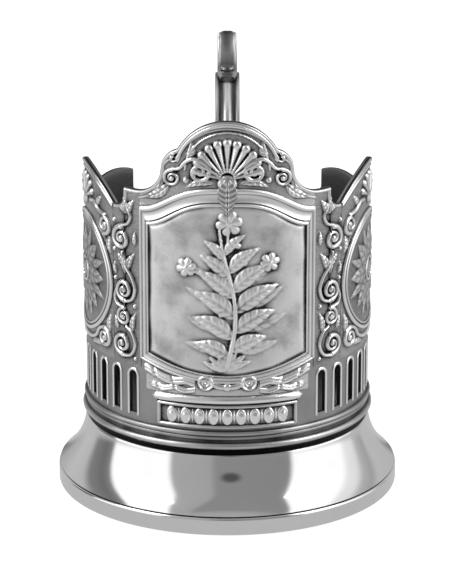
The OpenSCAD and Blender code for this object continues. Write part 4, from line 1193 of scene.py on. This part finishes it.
def leg(z, side):
    """A straight leg on the body at the heights z, facing the body or away from it."""
    return np.column_stack([np.full(len(z), LEG_Y), z]), np.tile([side, 0], (len(z), 1))


def in_middle(flat):
    """Places of the handle's plane, in space."""
    return np.column_stack([np.zeros(len(flat)), flat])


def handle_line():
    """Places and outward directions along the handle, from the upper leg's end to the lower leg's end."""
    bend_z = HANDLE_LOW_Z - BEND_R
    bend = arc((LEG_Y + BEND_R, bend_z), BEND_R, 96, 180, 15)
    parts = [
        leg(np.linspace(TAB_Z - 17, TAB_Z, 12)[:-1], -1.0),
        ellipse_place((ARM_Y, TAB_Z), ARM_W, ARM_H, np.linspace(180, 90, 40)),
        ellipse_place((ARM_Y, BACK_Z), BACK_W, BACK_W, np.linspace(88, 0, 36)),
        ellipse_place((LEG_Y + BEND_R, BACK_Z), HANDLE_REACH - BEND_R, BACK_Z - HANDLE_LOW_Z,
                      np.linspace(-2, -90, 50)),
        (bend, ((LEG_Y + BEND_R, bend_z) - bend) / BEND_R),
        leg(np.linspace(bend_z, bend_z - 6.4, 6)[1:], 1.0)]
    return [np.concatenate(column) for column in zip(*parts)]


def handle():
    """A strip with beaded edges and a raised ridge."""
    at, normal = handle_line()
    w, t = HANDLE_W / 2, HANDLE_T / 2
    section, wear = both_sides(
        [(w - 0.3, -t, 0.4), (w, -t + 0.3, 0.5), (w, t - 0.35, 0.6), (w - 0.12, t - 0.08, 0.85),
         (w - 0.4, t, 0.9), (w - 0.8, t - 0.1, 0.5), (w - 1.1, t - 0.24, 0.1), (1.6, t - 0.24, 0.1),
         (1.25, t - 0.1, 0.15), (0.95, t + 0.34, 0.6), (0.5, t + 0.56, 0.85)],
        [(0, t + 0.6, 1.0)])
    # the ridge fades out on the legs and under the thumb rest
    y, z = at.T
    under_rest = (z > HANDLE_TOP_Z - 1.6) & (ARM_Y - 6.2 < y) & (y < ARM_Y + 4.8)
    plain = (y < LEG_Y + 1.2) | under_rest
    sections = np.repeat(section[None], len(at), 0)
    sections[plain, :, 1] = np.minimum(sections[plain, :, 1], t)
    side = np.tile([1.0, 0, 0], (len(at), 1))
    piece = swept("handle_bow", in_middle(at), side, in_middle(normal), sections, wear, 50)
    dressed(piece, HANDLE, "handle_patina", "handle_strip")


handle()


def thumb_rest():
    """A leaf riveted along the top of the handle, that curls up at its end."""
    root, direction = ellipse_place((ARM_Y, BACK_Z), BACK_W, BACK_W, np.array([82.5]))
    root, direction = root[0], direction[0]
    w, t = 2.6, 0.7
    lay = HANDLE_T / 2 + t
    root = root + direction * lay
    az = math.degrees(math.atan2(direction[1], direction[0]))
    r = (HANDLE_TOP_Z + 9.3 - root[1]) / (math.sin(math.radians(az)) - math.cos(math.radians(75)))
    centre = root + direction * r
    arm, arm_n = ellipse_place((ARM_Y, TAB_Z), ARM_W, ARM_H, np.linspace(105, 90, 8))
    curl = arc(centre, r, az + 180, 345, 30)
    at = np.concatenate([arm + arm_n * lay, curl])
    normal = np.concatenate([arm_n, (centre - curl) / r])
    section, wear = both_sides(
        [(w - 0.25, -t, 0.4), (w, -t + 0.25, 0.5), (w, t - 0.3, 0.7),
         (w - 0.3, t, 0.9), (w - 0.75, t, 0.8), (w - 1.0, t - 0.2, 0.35)])
    share = np.linspace(0, 1, len(at))
    narrow = np.where(share < 0.12, 0.7 + share / 0.12 * 0.3, 1.0)
    narrow = np.where(share > 0.94, np.sqrt(np.clip(1 - ((share - 0.94) / 0.065) ** 2, 0.1, 1)), narrow)
    side = narrow[:, None] * [1.0, 0, 0]
    piece = swept("thumb_rest_leaf", in_middle(at), side, in_middle(normal), section, wear, 50)
    dressed(piece, HANDLE, "handle_patina", "thumb_rest")


thumb_rest()

# Seat, strap and rivets

for name, material in (("glass_seat", SEAT), ("seat_rivets", RIVET), ("handle_upper_rivets", RIVET),
                       ("handle_lower_rivet", RIVET), ("thumb_rest_rivet", RIVET), ("seam_strap", PATINA_SHADED_INSIDE)):
    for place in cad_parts[name].material_slots:
        place.material = material

# Studio


def pale_floor():
    mesh = bpy.data.meshes.new("floor")
    half, z = 3.0, -0.0001
    corners = [(-half, -half, z), (half, -half, z), (half, half, z), (-half, half, z)]
    mesh.from_pydata(corners, [], [(0, 1, 2, 3)])
    floor = bpy.data.objects.new("floor", mesh)
    bpy.context.scene.collection.objects.link(floor)
    material = bpy.data.materials.new("pale_floor")
    material.use_nodes = True
    shader = material.node_tree.nodes["Principled BSDF"]
    shader.inputs["Base Color"].default_value = (0.62, 0.62, 0.62, 1)
    shader.inputs["Roughness"].default_value = 0.9
    shader.inputs["Specular IOR Level"].default_value = 0.1
    add, maths = builder(material.node_tree)
    seen = maths("MULTIPLY", add("ShaderNodeLightPath").outputs["Is Camera Ray"], 0.7)
    glow = add("ShaderNodeEmission", {"Strength": seen})
    both = add("ShaderNodeAddShader", {0: shader.outputs[0], 1: glow.outputs[0]})
    output = material.node_tree.nodes["Material Output"]
    material.node_tree.links.new(both.outputs[0], output.inputs["Surface"])
    floor.data.materials.append(material)
    # polished metal shows the room and the table as the world gives them
    floor.visible_glossy = False


def room():
    """The world: plain light, white behind the object, and a room that only polished metal shows."""
    world = bpy.data.worlds.new("studio")
    bpy.context.scene.world = world
    world.use_nodes = True
    world.node_tree.nodes.clear()
    add, maths = builder(world.node_tree)
    toward = add("ShaderNodeTexCoord").outputs["Generated"]
    axes = add("ShaderNodeSeparateXYZ", {0: toward}).outputs
    rays = add("ShaderNodeLightPath").outputs

    def eased(value, low, high, start=0.0, kind="SMOOTHSTEP"):
        inputs = {"Value": value, "From Min": low, "From Max": high, "To Min": start}
        return add("ShaderNodeMapRange", inputs, interpolation_type=kind).outputs[0]

    def mixed(factor, first, second):
        first, second = (v if isinstance(v, bpy.types.NodeSocket) else (v, v, v, 1) for v in (first, second))
        return add("ShaderNodeMix", {"Factor": factor, 6: first, 7: second}, data_type="RGBA").outputs[2]

    # a grey front with the camera, white boards at both sides, grey overhead
    turn = maths("ARCTAN2", axes[0], maths("MULTIPLY", axes[1], -1.0))
    # towards the top the grey front widens, by up to 38 degrees
    height = maths("DIVIDE", maths("MAXIMUM", maths("SUBTRACT", axes[2], 0.6), 0.0), 0.34)
    in_front = maths("ADD", maths("MULTIPLY", maths("COSINE", turn), 1.2), 0.9)
    in_front = maths("MINIMUM", maths("MAXIMUM", in_front, 0.0), 1.0)
    overhead = maths("MULTIPLY", maths("MULTIPLY", maths("POWER", height, 3.5), math.radians(38)), in_front)
    size = maths("MAXIMUM", maths("SUBTRACT", maths("ABSOLUTE", turn), overhead), 0.0)
    around = maths("ADD", maths("MULTIPLY", maths("MULTIPLY", size, maths("SIGN", turn)), 0.5 / math.pi), 0.5)
    ramp = add("ShaderNodeValToRGB", {0: around})
    # degrees from the front and brightness
    walls = [(-180, 0.05), (-168, 0.1), (-156, 0.36), (-140, 0.48), (-128, 0.45), (-121, 0.2),
             (-108, 0.14), (-101, 0.2), (-97, 1.0), (-47, 1.0), (-43, 0.36), (-14, 0.34), (-8, 0.24),
             (49, 0.22), (53, 1.0), (98, 1.0), (104, 0.76), (113, 0.7), (119, 0.42), (128, 0.33),
             (134, 0.46), (157, 0.42), (168, 0.1), (180, 0.05)]
    stops = ramp.color_ramp.elements
    for degrees, _ in walls[1:-1]:
        stops.new(degrees / 360 + 0.5)
    for stop, (degrees, value) in zip(stops, walls):
        stop.position = degrees / 360 + 0.5
        stop.color = (value, value, value, 1)
    seen = mixed(eased(axes[2], 0.92, 0.965), ramp.outputs[0], 0.35)
    # a small dark spot where the camera stands
    tilt = math.radians(20)
    spot = (0.045, -math.cos(tilt), math.sin(tilt))
    apart = add("ShaderNodeVectorMath", {0: toward, 1: spot}, operation="DISTANCE").outputs["Value"]
    bright = maths("MULTIPLY", eased(apart, 0.08, 0.16, 0.3, "LINEAR"), 1.3)
    seen = add("ShaderNodeVectorMath", {0: seen, "Scale": bright}, operation="SCALE").outputs[0]
    # the table below; only mirror rays see the room, the camera sees white and the rest plain light
    seen = mixed(eased(axes[2], -0.25, -0.12), 0.58, seen)
    seen = mixed(rays["Is Glossy Ray"], 0.5, seen)
    seen = mixed(rays["Is Camera Ray"], seen, 1.0)
    back = add("ShaderNodeBackground", {"Color": seen})
    add("ShaderNodeOutputWorld", {0: back.outputs[0]})


def lamps():
    for name, place, size, power in (
            ("key", (-0.72, -0.24, 0.72), 0.45, 3.4),
            ("fill", (0.78, -0.28, 0.6), 0.5, 2.4),
            ("top", (0.0, 0.35, 0.95), 1.1, 1.5)):
        lamp = bpy.data.lights.new(name, "AREA")
        lamp.shape, lamp.size, lamp.energy = "SQUARE", size, power
        holder = bpy.data.objects.new(name, lamp)
        holder.location = place
        holder.rotation_euler = (Vector((0, 0, 0.05)) - Vector(place)).to_track_quat("-Z", "Y").to_euler()
        bpy.context.scene.collection.objects.link(holder)


def camera():
    """The photograph's view: 17.7 degrees above the horizon, 0.75 m away, a focal length of 3009 rows."""
    rows, focal, tilt, away = 568, 3009, math.radians(17.7), 0.75
    lens = bpy.data.cameras.new("camera")
    lens.sensor_fit, lens.sensor_width, lens.lens = "AUTO", 36.0, focal * 36.0 / rows
    lens.shift_x, lens.shift_y = 5.2 / rows, 20.0 / rows
    lens.clip_start, lens.clip_end = 0.05, 20.0
    holder = bpy.data.objects.new("camera", lens)
    holder.location = (0, -away * math.cos(tilt), 0.045 + away * math.sin(tilt))
    holder.rotation_euler = (math.pi / 2 - tilt, 0, 0)
    bpy.context.scene.collection.objects.link(holder)
    bpy.context.scene.camera = holder


pale_floor()
room()
lamps()
camera()
bpy.context.scene.view_settings.view_transform = "Standard"
